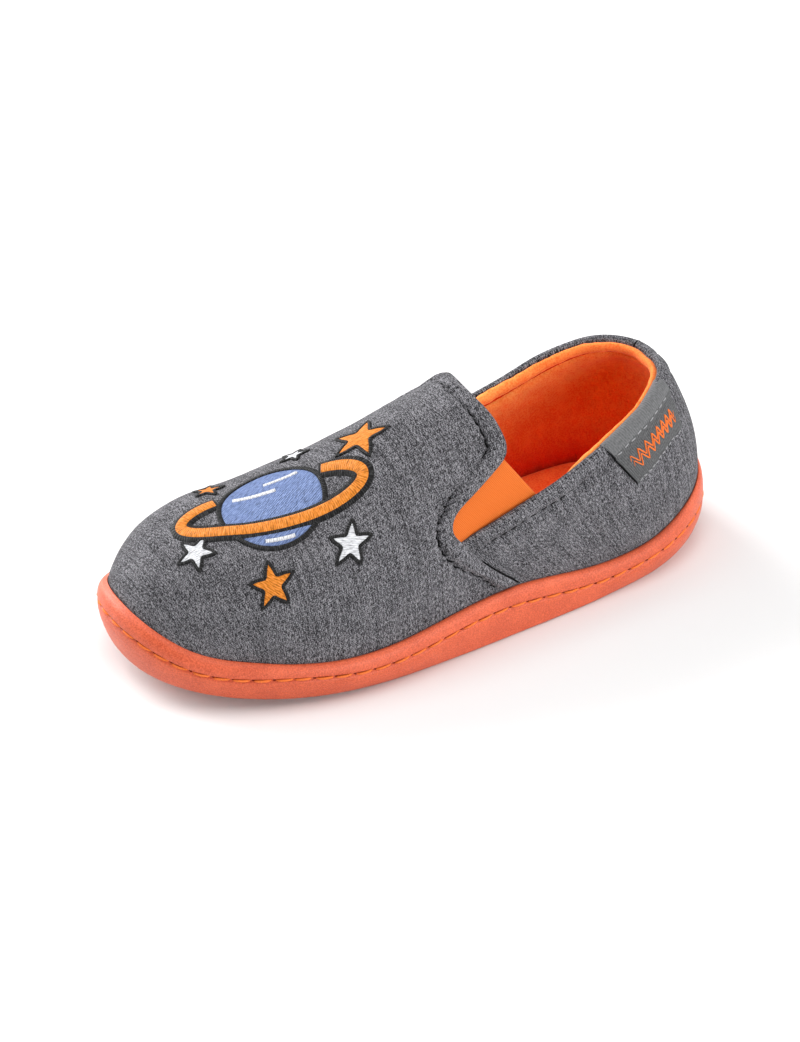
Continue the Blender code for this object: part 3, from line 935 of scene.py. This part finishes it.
def crease_depth(points, turns):
    """Depth of the soft creases, the same on both sides."""
    total = np.zeros(points.shape[:-1])
    lateral = np.sin(turns) >= 0
    for share, rise, end_share, end_rise, depth, width in CREASES:
        for side in (1, -1):
            start = upper_base(turn_of(share, side), np.float64(rise))
            line = upper_base(turn_of(end_share, side), np.float64(end_rise)) - start
            part = np.clip((points - start) @ line / (line @ line), 0, 1)
            away = np.linalg.norm(points - start - part[..., None] * line, axis=-1)
            fade = np.sin(np.pi * np.clip(0.1 + 0.8 * part, 0, 1))
            total += depth * bell(away, width) * fade * (lateral if side > 0 else ~lateral)
    return total


def unevenness(points, turns):
    """How far the cloth is out of its smooth form."""
    height = above_lip(points, turns)
    tucks = np.sin(turns * TUCK_COUNT + 1.5 * np.sin(turns * 9))
    tucks = tucks * np.exp(-np.clip(height, 0, None) / TUCK_HEIGHT)
    waves = SLOW_WAVE_DEPTH * soft_waves(points, SLOW_WAVE_SIZE, 11)
    return (waves + TUCK_DEPTH * tucks - crease_depth(points, turns)) * ease(*UNEVEN_HEIGHTS, height)


def cloth_point(turn, rise, out):
    """A point of the uneven cloth, raised by out, and the outward direction there."""
    base = upper_base(turn, rise)
    normal = upper_normal(turn, rise)
    return base + normal * (out + unevenness(base, turn))[..., None], normal


# The vamp


def vamp_rises(count):
    """Rises at even steps along the vamp's rear edge, and their distances along it."""
    fine = np.linspace(0, 1, 1500)
    where = length_along(upper_base(turn_of(edge_share(fine), 1), fine))
    even = np.linspace(0, where[-1], count)
    return np.interp(even, where, fine), even


def vamp_lift(rise):
    """The vamp's hem lies on the quarter below the slot and hangs free above it."""
    return VAMP_HEM_LIFT * (1 - ease(*VAMP_HEM_LIFT_RISES, rise))


def hem_phase(where):
    """Phase of the vamp's uneven stitches along its hem."""
    return CIRCLE * where / HEM_PITCH + 2 * np.sin(where / 7)


def hem_wander(where):
    """How far the hem's groove wanders, as a part of the hem's width."""
    return 0.05 * np.sin(hem_phase(where)) + 0.04 * np.sin(where / 2.9 + 1.0)


def vamp_faint(rise):
    """How much the hem's groove flattens out in the bend above the slot."""
    return bell(rise - VAMP_FAINT_RISE, VAMP_FAINT_WIDTH)


def vamp_turns(rises, parts, columns):
    """Turns of the hem's columns and of those on to the toe, for each rise."""
    shown = np.clip(rises, 0, 1)
    edge = edge_share(shown)[:, None]
    groove = groove_share(shown)[:, None]
    hem = turn_of(edge + (groove - edge) * parts, 1)
    steps = np.linspace(0, 1, columns + 1)[1:]
    rest = hem[:, -1:] + (np.pi - hem[:, -1:]) * (0.8 * steps + 0.2 * steps**2)
    return np.concatenate([hem, rest], 1)


def vamp_hem(parts, where, rises):
    """How far the vamp's hem stands out, with its groove, puckers and slow swells."""
    wandered = parts + hem_wander(where) * bell(parts - 1, 0.35)
    hem = np.interp(wandered, *VAMP_HEM.T)
    hem = hem + VAMP_FAINT_FILL * vamp_faint(rises) * bell(wandered - 1, 0.07)
    hem = hem + vamp_lift(rises) * (1 - ease(0.6, 0.96, parts))
    middle, width = PUFF_PLACE
    puckers = PUCKER_DEPTH * bell(np.abs(parts - 1) - 0.14, 0.1) + PUFF_DEPTH * bell(parts - middle, width)
    hem = hem + np.cos(hem_phase(where)) * puckers
    for depth, length, phase, middle, width in HEM_SWELLS:
        hem = hem + depth * np.sin(where / length + phase) * bell(parts - middle, width)
    return hem


def vamp_half(side, rows=170, columns=105):
    """Outer face of one side of the vamp, with its hem and rolled edge."""
    rises, where = vamp_rises(rows)
    rises = np.concatenate([VAMP_FOOT_RISES, rises])
    where = np.concatenate([VAMP_FOOT_DISTANCES, where])[:, None]
    parts = np.concatenate([np.linspace(*span) for span in VAMP_HEM_COLUMNS])
    turns = on_side(vamp_turns(rises, parts, columns), side)
    rises = np.broadcast_to(rises[:, None], turns.shape)
    out = np.concatenate([vamp_hem(parts, where, rises[:, :1]), np.zeros((len(rises), columns))], 1)
    base = upper_base(turns, rises)
    clear = clear_of_lip(base, turns)
    grid, normal = cloth_point(turns, rises, out * clear)
    backwards = unit(base[:, 0] - base[:, 3])
    roll = rolled_edge(grid[:, 0], backwards, normal[:, 0], VAMP_HEM_ROLL * clear[:, :1], 8)
    under = grid[:, 8] - normal[:, 8] * (2.6 * VAMP_HEM_ROLL * clear[:, 8:9])
    roll = np.stack([under] + roll, 1)
    flat = laid_flat(turns, rises)
    roll_flat = flat[:, :1] - pairs(0.0, np.linspace(-3, 0, roll.shape[1]))
    return np.concatenate([roll, grid], 1), np.concatenate([roll_flat, flat], 1)


def vamp_groove_line(side):
    """Bottom of the vamp's stitched groove and its outward directions."""
    rises, where = vamp_rises(500)
    edge = edge_share(rises)
    part = 1 - hem_wander(where)
    turns = turn_of(edge + (groove_share(rises) - edge) * part, side)
    line, normals = cloth_point(turns, rises, VAMP_GROOVE - 0.4 * vamp_faint(rises))
    clear = above_lip(line, turns) > 0.8
    return line[clear], normals[clear]


def vamp_shadow_line(side):
    """Foot of the vamp's rear edge on the quarter, from the sole towards the slot: its painted shadow."""
    rises = np.linspace(0.0, VAMP_SHADOW_TOP * SLOT_RISE, 120)
    turns = turn_of(edge_share(rises) - 0.002, side)
    line, _ = cloth_point(turns, rises, 0.15)
    return line[above_lip(line, turns) > 0.2]


def vamp_lining_half(side):
    """Fleece inside one side of the vamp."""
    rises, _ = vamp_rises(60)
    rises = np.concatenate([[-0.8], rises])
    turns = on_side(vamp_turns(rises, np.linspace(0.25, 1.0, 4), 50), side)
    rises = np.broadcast_to(rises[:, None], turns.shape)
    return upper_point(turns, rises, 0.2 - LINING_DEPTH)


# The quarters and their lining


def collar_share(parts):
    return share_of(turn_of(SLOT_SHARE, 1) * parts)


def quarter_at(parts, side, distances):
    """Turns and rises of the quarter at distances below the collar, and its depth."""
    up = np.linspace(1, 0, 90)[:, None]
    turns = turn_of(edge_share(up * SLOT_RISE), 1) * parts
    rises = up * collar_rise(collar_share(parts))
    fall = length_along(upper_base(turns, rises))
    row_turns = np.zeros(np.shape(distances))
    row_rises = np.zeros(np.shape(distances))
    for j in range(len(parts)):
        row_turns[:, j] = np.interp(distances[:, j], fall[:, j], turns[:, j])
        row_rises[:, j] = np.interp(distances[:, j], fall[:, j], rises[:, j])
    return on_side(row_turns, side), row_rises, fall[-1]


def quarter_distances(parts, near, rows):
    """Fixed distances near the collar, then even steps to the foot of the wall."""
    depth = quarter_at(parts, 1, np.zeros((1, len(parts))))[2]
    steps = np.linspace(0, 1, rows + 1)[1:, None]
    rest = near[-1] + (depth - near[-1]) * steps
    return np.concatenate([np.broadcast_to(near[:, None], (len(near), len(parts))), rest])


def collar_hem(parts, distances, where, tucked):
    """How far the quarter's hem stands out, tucked in under the vamp."""
    hem = np.interp(distances, *COLLAR_HEM.T)
    groove = COLLAR_FAINT + (1 - COLLAR_FAINT) * ease(*COLLAR_FAINT_SHARES, collar_share(parts))
    hem = np.where(hem < 0, hem * groove, hem)
    puckers = COLLAR_PUCKER * bell(distances - COLLAR_GROOVE, 0.7) * np.cos(CIRCLE * where / HEM_PITCH)
    return (hem + puckers) * (1 - tucked) - tucked - HEEL_SEAM * bell(where, HEEL_SEAM_WIDTH)


def quarter_half(side, rows=40):
    """Outer face of one quarter, with its collar hem and rolled top edge."""
    parts = np.concatenate([np.linspace(0, 0.93, 140), np.linspace(0.93, 1.05, 51)[1:]])
    distances = quarter_distances(parts, COLLAR_ROLL + np.linspace(0, COLLAR_HEM_DEPTH, 34), rows)
    turns, rises, _ = quarter_at(parts, side, distances)
    base = upper_base(turns, rises)
    tucked = ease(*TUCKED_PARTS, parts)
    hem = collar_hem(parts, distances, length_along(base[0]), tucked)
    grid, normal = cloth_point(turns, rises, hem * clear_of_lip(base, turns))
    upwards = unit(base[0] - base[2])
    roll = rolled_edge(grid[0], upwards, normal[0], (COLLAR_ROLL * (1 - 0.5 * tucked))[:, None], 10)
    inside = roll[0] - upwards * 2.0
    foot = with_height(base[-1, :, :2], WALL_FOOT_HEIGHT)
    grid = np.concatenate([[inside], roll, grid, [foot]])
    edge = COLLAR_ROLL * np.linspace(-2.2, 0, len(roll) + 1)
    edge = np.broadcast_to(edge[:, None], (len(edge), len(parts)))
    fall = np.concatenate([edge, distances, distances[-1:] + WALL_FOOT_FALL])
    return grid, pairs(-fall, length_along(grid[len(grid) // 2]))


def quarter_line(side, distance, out):
    """Line at a distance below the collar, and its outward directions."""
    parts = np.linspace(0.004, 0.965, 500)
    turns, rises, _ = quarter_at(parts, side, np.full((1, len(parts)), distance))
    return cloth_point(turns[0], rises[0], out)


def lining_sunk(parts, side):
    """How far the lining's edge lies below the collar near the gusset."""
    return LINING_SINK * ease(*LINING_SINK_SHARES[side], collar_share(parts))


def lining_seam_line(side):
    """Line in the groove below the lining's rolled edge."""
    parts = np.linspace(0.0, 0.80, 400)
    distance, depth = LINING_GROOVE
    turns, rises, _ = quarter_at(parts, side, distance + lining_sunk(parts, side)[None])
    return upper_point(turns[0], rises[0], -depth)


def lining_half(side, rows=26, columns=150):
    """Fleece inside one quarter, with a rolled edge and a stitched groove."""
    parts = np.linspace(0, 1.12, columns)
    knots = np.arange(len(LINING_EDGE))
    fine = np.linspace(0, knots[-1], 70)
    near, depth = (curve_through(knots, column)(fine) for column in LINING_EDGE.T)
    distances = quarter_distances(parts, near, rows)
    sunk = lining_sunk(parts, side)
    distances = distances + sunk * (1 - ease(*LINING_SINK_END, distances))
    depths = np.concatenate([depth, np.linspace(depth[-1], LINING_DEPTH, rows)])[:, None]
    turns, rises, _ = quarter_at(parts, side, np.clip(distances, 0, None))
    ends = quarter_at(parts, side, np.array([[0.0], [2.0]]) * np.ones(columns))
    ends = upper_base(ends[0], ends[1])
    above = unit(ends[0] - ends[1]) * np.clip(-distances, 0, None)[..., None]
    base = upper_base(turns, rises) + above
    pucker = bell(distances - sunk - LINING_GROOVE[0], 0.5)
    pucker = pucker * np.cos(CIRCLE * length_along(base[0]) / HEM_PITCH)
    nap = sum(deep * soft_waves(base, size, seed) for deep, size, seed in LINING_NAP)
    grid = base - upper_normal(turns, rises) * (depths - LINING_PUCKER * pucker - nap)[..., None]
    return np.concatenate([grid, [with_height(grid[-1, :, :2], WALL_FOOT_HEIGHT)]])


def elastic_half(side, rows=60, columns=36):
    """Outer face of one gusset, from under the vamp to under the collar."""
    rises = np.linspace(*GUSSET_RISES, rows)
    shares = np.linspace(*GUSSET_SHARES, rows)
    edge = edge_share(rises)
    hem = edge + 0.5 * (groove_share(rises) - edge)
    rear_rise = collar_rise(shares) - GUSSET_DROPS[0]
    lower_rise = rear_rise - GUSSET_DROPS[1]
    lines = zip((hem, edge, shares, shares), (rises, rises, rear_rise, lower_rise), GUSSET_DEPTHS)
    under, front, rear, lower = (upper_point(turn_of(at, side), rise, -deep) for at, rise, deep in lines)
    part = np.linspace(0, 1, columns)[:, None]
    shown = front[:, None] * (1 - part) + rear[:, None] * part
    grid = np.concatenate([under[:, None], shown, lower[:, None]], 1)
    line = unit(rear[-1] - front[-1])
    away = grid - front[-1]
    lengthwise = away @ line
    down = np.linalg.norm(away - lengthwise[..., None] * line, axis=-1)
    return grid, pairs(lengthwise, down)


# The sole


def seam_depth(share):
    return CREASE_DEPTH * (0.5 + 0.5 * ease(*CREASE_SHARES, share))


def seam_height(turns):
    """Height of the sole's stitch line."""
    share = share_of(turns)
    under = spring(share)
    return under + (lip_height(turns) - under) * stitch_share(share)


def outsole_rows(turns):
    """Rows of the sole's side up to the top of its lip, with the crease of its stitches."""
    share = share_of(turns)
    under = spring(share)
    line = seam_height(turns)
    lip = lip_height(turns)
    rows = []
    for part in np.concatenate([SOLE_SIDE[:4, 2], 1 - np.linspace(0.93, 0, 42) ** 1.3]):
        inset = edge_inset(share) * np.interp(part, SOLE_SIDE[:, 2], SOLE_SIDE[:, 0])
        inset = inset + np.interp(part, SOLE_SIDE[:, 2], SOLE_SIDE[:, 1])
        rows.append((inset, under + (line - under) * part))
    for part in np.linspace(0, 1, 36)[1:] ** 1.5:
        rows.append((lip_inset(share) * lip_side_part(part), line + (lip - line) * part))
    crease = seam_depth(share)
    return [sole_point(turns, inset + crease * bell(up - line, CREASE_WIDTH), up) for inset, up in rows]


def outsole_grid(steps=440):
    """Side and lip of the sole, from the ground to the inside of the cup."""
    turns = np.linspace(0, CIRCLE, steps + 1)
    share = share_of(turns)
    lip = lip_height(turns)
    base = wall_base(turns)
    lip_rise = np.maximum((lip - base) / (crown_height(np.minimum(share, TOE_CENTRE_SHARE)) - base), 0)
    inner = upper_base(turns, lip_rise)[:, :2] + rib(turns)[1] * LIP_TOP_GAP
    rows = outsole_rows(turns)
    edge = rows[-1][:, :2]
    for part, drop in LIP_TOP:
        rows.append(with_height(edge * (1 - part) + inner * part, lip - drop))
    rows.append(sole_point(turns, lip_wall(share), spring(share) + SOLE_FLOOR))
    return np.array(rows)


def across_sole(ring, sink, columns=41):
    """Grid that closes a ring from side to side. Sink is how far its middle lies deeper."""
    half = len(ring) // 2
    lateral = ring[: half + 1]
    medial = ring[::-1][: half + 1]
    part = np.linspace(0, 1, columns)[:, None, None]
    grid = lateral * (1 - part) + medial * part
    grid[..., 2] -= sink * ease(0, 0.25, np.minimum(part, 1 - part)[..., 0])
    return grid


def sole_stitch_line(depth):
    """Line under the sole's stitches, at a depth by share, and its outward directions."""
    turns = np.linspace(0, CIRCLE, 1500)
    inset = SOLE_SIDE[-1, 1] + depth(share_of(turns))
    return sole_point(turns, inset, seam_height(turns)), with_height(rib(turns)[1], 0.0)


def loose_thread_path(points=14):
    """A short thread end that stands up from the stitches near the toe."""
    turns = LOOSE_THREAD_TURN - np.linspace(0, 0.03, points)
    part = np.linspace(0, 1, points)
    inset = 0.2 - 0.5 * np.sin(np.pi * part) + lip_inset(share_of(turns)) * 0.55 * part**2
    path = sole_point(turns, inset, seam_height(turns) + LOOSE_THREAD_RISE * part)
    path[:, 1] += 0.7 * np.sin(2.6 * part)
    return path


def insole_grids():
    """Felt insole, slightly dished, with a soft edge."""
    turns = np.linspace(0, CIRCLE, 241)
    share = share_of(turns)
    bottom = spring(share) + SOLE_FLOOR + GAP
    rows = []
    for more, up in INSOLE_SIDE:
        inset = lip_wall(share) + INSOLE_INSET + more
        rows.append(sole_point(turns, inset, bottom + INSOLE_THICKNESS * up))
    rim = np.array(rows)
    top = across_sole(rim[-1], INSOLE_DISH)
    top[..., 2] += 0.06 * soft_waves(top, 6.0, 8)
    return [rim, top, across_sole(rim[0], 0.0)]


# The label


def label_point(part, down, lift):
    """A point of the label: part of its length, part of its fall, lift above the cloth."""
    front, rear = LABEL_SHARES
    front_fall, rear_fall = LABEL_FALL
    share = front + (rear - front) * part
    fall = (front_fall + (rear_fall - front_fall) * part) * down
    turn = turn_of(share - LABEL_SLANT * (1 - part) * down, 1)
    hem = np.interp(fall * LABEL_RISE_LENGTH, *COLLAR_HEM.T)
    return cloth_point(turn, collar_rise(share) - fall, np.maximum(hem, 0.25 * hem) + lift)


def label_down(distance):
    """Part of the label's fall at a distance below the collar."""
    return distance / (LABEL_FALL[0] * LABEL_RISE_LENGTH)


def label_grid(rows=46, columns=90):
    """Tape folded over the collar, from a short end inside to the outside."""
    part = np.broadcast_to(np.linspace(0, 1, columns), (rows, columns))
    down = np.broadcast_to(np.linspace(label_down(COLLAR_ROLL), 1, rows)[:, None], (rows, columns))
    outside, normal = label_point(part, down, LABEL_STAND_OFF)
    upwards = unit(outside[0] - outside[2])
    roll = rolled_edge(outside[0], upwards, normal[0], COLLAR_ROLL + LABEL_STAND_OFF, 12)
    inside = roll[0] - upwards * 1.6 + normal[0] * 0.3
    grid = np.concatenate([[inside], roll, outside])
    fall = length_along(grid[:, columns // 2])
    fall = fall - fall[len(roll) + 1] + COLLAR_ROLL
    return grid, pairs(length_along(grid[20]), fall[:, None])


def label_line(parts, distances, lift=0.0):
    """Line on the label's outer face, and its outward directions."""
    return label_point(parts, label_down(distances), LABEL_STAND_OFF + LABEL_THICKNESS + lift)


def label_zigzags():
    """Paths of a plain zigzag across the label."""
    part = np.linspace(*ZIGZAG_SPAN, 12 * ZIGZAG_PEAKS + 1)
    sway = np.arcsin(0.985 * np.sin(np.linspace(0, CIRCLE * ZIGZAG_PEAKS, len(part)))) / (np.pi / 2)
    return [label_line(part, middle - ZIGZAG_HEIGHT * sway / 2, 0.1)[0] for middle in ZIGZAG_MIDDLES]


# Embroidery


def on_vamp(flat, lift):
    """Points on the vamp's cloth from its flat layout, raised by a lift."""
    return cloth_point(*vamp_place(flat), lift)[0]


def turned(points, angle):
    matrix = np.array(((np.cos(angle), np.sin(angle)), (-np.sin(angle), np.cos(angle))))
    return points @ matrix


def design_path(points):
    """Place of a design's points, given to the right and upwards, on the flat vamp."""
    return DESIGN_MIDDLE + turned(points, DESIGN_TURN)


def star_outline(size, place, turn, count=101):
    angle = np.linspace(0, CIRCLE, count)
    reach = size * (1 - STAR_NOTCH * np.abs(np.sin(2.5 * angle)) ** 0.85)
    return np.array(place) + reach[:, None] * pairs(np.cos(angle + turn), np.sin(angle + turn))


def round_planet(points):
    """Place of points round the planet's middle, tilted like its ring."""
    return np.array(PLANET_PLACE) + turned(points, RING_TURN)


def oval_path(size, start, end, count):
    angle = np.linspace(start, end, count)
    return round_planet(np.array(size) * pairs(np.cos(angle), np.sin(angle)))


def cloud_path(start, end, up, count=24):
    """A band of cloud across the planet, bowed like its ring."""
    across = np.linspace(start, end, count)
    return round_planet(pairs(across, up + CLOUD_BOW * across**2))


def raised_fill(outline, lift, strands, rings=12):
    """Fill of a closed outline. Strands is the direction of its threads."""
    part = np.linspace(0, 1, rings)[:, None]
    middle = outline[:-1].mean(0)
    local = middle + (outline - middle) * part[..., None]
    height = lift * np.sqrt(1 - 0.97 * part**6) - 0.05
    return on_vamp(design_path(local), height), turned(local, strands)


def raised_border(path, width, lift, columns=9):
    """Satin border along a path, with threads across it."""
    forward = np.gradient(path, axis=0)
    if np.allclose(path[0], path[-1]):
        forward[0] = forward[-1] = path[1] - path[-2]
    forward = unit(forward)
    aside = pairs(-forward[:, 1], forward[:, 0])
    part = np.linspace(-1, 1, columns)
    across = part * width / 2
    local = path[:, None] + aside[:, None] * across[:, None]
    height = lift * np.sqrt(1 - 0.97 * part**4) - 0.05
    return on_vamp(design_path(local), height), pairs(length_along(path)[:, None], across)


def embroidery():
    """Planet with a ring and stars, as lists of grids for each colour."""
    shapes = {colour: [] for colour in SATIN_COLOURS}
    planet = oval_path(PLANET_SIZE, -RING_TURN, CIRCLE - RING_TURN, 73)
    shapes["blue"].append(raised_fill(planet, FILL_LIFT, 0.5, 24))
    shapes["black"].append(raised_border(planet, PLANET_BORDER, BORDER_LIFT))
    for colour, start, end, width, lift in RING_BANDS:
        band = oval_path(RING_SIZE, np.radians(start), np.radians(end), 90)
        shapes[colour].append(raised_border(band, width, lift))
    for start, end, up, width in CLOUD_BANDS:
        shapes["white"].append(raised_border(cloud_path(start, end, up), width, CLOUD_LIFT))
    for right, up, size, turn, colour in STARS:
        star = star_outline(size, (right, up), turn)
        shapes[colour].append(raised_fill(star, FILL_LIFT, 1.0 + turn))
        shapes["black"].append(raised_border(star, STAR_BORDER, BORDER_LIFT))
    return shapes


# Floor, lights and camera


def add_floor():
    bpy.ops.mesh.primitive_plane_add(size=FLOOR_SIZE, location=(0.0, 0.0, FLOOR_HEIGHT))
    floor = bpy.context.object
    floor.name = "floor"
    material, _, main = start_material("white_floor", roughness=0.9, specular=0.1)
    main.inputs["Base Color"].default_value = FLOOR_COLOUR
    floor.data.materials.append(material)


def add_light(name, place, size, power):
    """A square soft light that faces the shoe."""
    data = bpy.data.lights.new(name, "AREA")
    data.size = size
    data.energy = power
    light = bpy.data.objects.new(name, data)
    light.location = place
    light.rotation_euler = (FOOT_MIDDLE - Vector(place)).to_track_quat("-Z", "Y").to_euler()
    bpy.context.scene.collection.objects.link(light)


def add_world():
    world = bpy.data.worlds.new("studio")
    world.use_nodes = True
    background = world.node_tree.nodes["Background"]
    background.inputs["Color"].default_value = (1.0, 1.0, 1.0, 1.0)
    background.inputs["Strength"].default_value = WORLD_STRENGTH
    bpy.context.scene.world = world


def add_camera():
    level = np.cos(CAMERA_ABOVE)
    away = Vector((np.sin(CAMERA_ROUND) * level, -np.cos(CAMERA_ROUND) * level, np.sin(CAMERA_ABOVE)))
    target = Vector((-SIDE_MIDDLE * MM, 0.0, 0.0))
    data = bpy.data.cameras.new("photo_camera")
    data.lens = CAMERA_LENS
    data.sensor_width = 36.0
    data.shift_x, data.shift_y = CAMERA_SHIFT
    camera = bpy.data.objects.new("photo_camera", data)
    camera.location = target + away * CAMERA_DISTANCE
    camera.rotation_euler = away.to_track_quat("Z", "Y").to_euler()
    bpy.context.scene.collection.objects.link(camera)
    bpy.context.scene.camera = camera


# Distance of the sole's middle from its spine, so that the part stands over the origin
outline_sides = sole_point(np.linspace(0, CIRCLE, 721), 0.0, 0.0)[:, 0]
SIDE_MIDDLE = (outline_sides.min() + outline_sides.max()) / 2

jersey = jersey_material()
fleece = fleece_material("orange_fleece", LINING_SHADED_COLOURS)
felt = fleece_material("orange_felt", INSOLE_SHADED_COLOURS)
rubber = rubber_material("orange_rubber")
tread = rubber_material("orange_tread", tread=0.4)
sole_thread = thread_material("orange_thread", (0.84, 0.195, 0.045), 0.6)
# Dark orange, for the painted shade in the lining's seam groove
seam_shade_thread = thread_material("orange_seam_painted_shade", (0.70, 0.050, 0.006), 0.9)
# Dark brown, for the painted shade in the stitch holes
hole_shade = thread_material("stitch_hole_painted_shade", (0.16, 0.018, 0.009), 0.9)
# Near black, for stitches and for lines of painted shadow
dark_thread_and_painted_shadow = thread_material("dark_thread_and_painted_shadow", (0.004, 0.004, 0.0045), 0.8)
grey_thread = thread_material("grey_thread", (0.34, 0.34, 0.35), 0.7)
# Charcoal, for stitches and for a line of painted shade
charcoal_thread_and_painted_shade = thread_material("charcoal_thread_and_painted_shade", (0.017, 0.017, 0.018), 0.8)

body = outsole_grid()
mesh_piece("outsole_body", rubber, "outsole", [body], nodes=["outsole"])
mesh_piece("outsole_tread", tread, "outsole", [across_sole(body[0], 0.0)], nodes=["outsole"])
groove = sole_stitch_line(lambda share: CREASE_DEPTH)
paths = stitch_paths(*groove, SOLE_PITCH, length=5.5, bow=0.68, seed=21, lean=0.06, slant=0.5)
thread_piece("sole_stitches", paths, 0.40, sole_thread, "outsole")
# Short dark brown dashes at the stitches' ends: painted shade in the stitch holes
groove = sole_stitch_line(seam_depth)
paths = stitch_paths(*groove, SOLE_PITCH, length=0.9, bow=0.0, seed=21, shift=-0.7, lean=0.0, slant=-0.4)
thread_piece("sole_stitch_holes", paths, 0.34, hole_shade, "outsole")
thread_piece("sole_loose_thread", [loose_thread_path()], 0.28, sole_thread, "outsole")

mesh_piece("insole_felt", felt, "insole", insole_grids(), nodes=["insole"])

mesh_piece("vamp_jersey", jersey, "upper", *zip(*both_sides(vamp_half)), nodes=["upper"])
mesh_piece("quarter_jersey", jersey, "upper", *zip(*both_sides(quarter_half)))
mesh_piece("quarter_lining", fleece, "upper", both_sides(lining_half), facing=-1)
mesh_piece("vamp_lining", fleece, "upper", both_sides(vamp_lining_half), facing=-1)
hem_paths = []
collar_paths = []
for side in (1, -1):
    groove = vamp_groove_line(side)
    hem_paths += stitch_paths(*groove, HEM_PITCH, length=3.0, bow=0.12, seed=31)
    groove = quarter_line(side, COLLAR_GROOVE, -0.48)
    collar_paths += stitch_paths(*groove, HEM_PITCH, length=2.4, bow=0.1, seed=32)
thread_piece("vamp_hem_stitches", hem_paths, 0.30, dark_thread_and_painted_shadow, "upper")
# Dark line along the foot of the vamp's rear edge: painted shadow under the edge
thread_piece("vamp_edge_painted_shadow", both_sides(vamp_shadow_line), 0.32, dark_thread_and_painted_shadow, "upper")
thread_piece("collar_stitches", collar_paths, 0.2, charcoal_thread_and_painted_shade, "upper")
# Dark orange band along the lining's seam groove: the seam's line, darkened as painted shade
thread_piece("lining_seam", both_sides(lining_seam_line), 0.75, seam_shade_thread, "upper")
back_seam = quarter_half(-1)[0][BACK_SEAM_ROWS, BACK_SEAM_COLUMN]
thread_piece("collar_back_seam", [back_seam], 0.2, dark_thread_and_painted_shadow, "upper")

elastic = elastic_material()
for name, side in (("elastic_lateral", 1), ("elastic_medial", -1)):
    grid, flat = elastic_half(side)
    gusset = mesh_piece(name + "_rib", elastic, "elastic", [grid], [flat], nodes=[name])
    add_wall(gusset, GUSSET_THICKNESS, -1.0)

grid, flat = label_grid()
label = mesh_piece("label_tape", tape_material(), "heel_label", [grid], [flat], nodes=["heel_label"])
add_wall(label, LABEL_THICKNESS, 1.0)
part = np.linspace(0.01, 0.99, 200)
upper_line = label_line(part, np.full(200, LABEL_STRIP))
lower_line = label_line(part, 15.0 + 1.1 * part)
label_paths = stitch_paths(*upper_line, 3.0, length=1.9, bow=0.15, seed=41, sink=0.05)
label_paths += stitch_paths(*lower_line, 1.9, length=1.4, bow=0.12, seed=42, sink=0.05, lean=0.2)
thread_piece("label_stitches", label_paths, 0.2, grey_thread, "heel_label")
thread_piece("label_zigzag", label_zigzags(), 0.26, sole_thread, "heel_label")
down = np.linspace(label_down(1.0), 1.0, 40)
# Near black line along the label's front edge: painted shadow in the gap under it
front_edge, _ = label_point(np.full(40, -0.012), down, 0.5)
# Charcoal line along the label's rear edge: painted shade on the label's side
rear_edge, _ = label_point(np.full(40, 1.004), down, 0.25)
thread_piece("label_front_painted_shadow", [front_edge], 0.25, dark_thread_and_painted_shadow, "heel_label")
thread_piece("label_rear_painted_shadow", [rear_edge], 0.25, charcoal_thread_and_painted_shade, "heel_label")

for colour, shapes in embroidery().items():
    satin = satin_material(colour + "_satin", SATIN_COLOURS[colour])
    mesh_piece("embroidery_" + colour, satin, "upper", *zip(*shapes), joined=False)

add_floor()
add_world()
for light in LIGHTS:
    add_light(*light)
add_camera()
bpy.context.scene.view_settings.view_transform = "Standard"
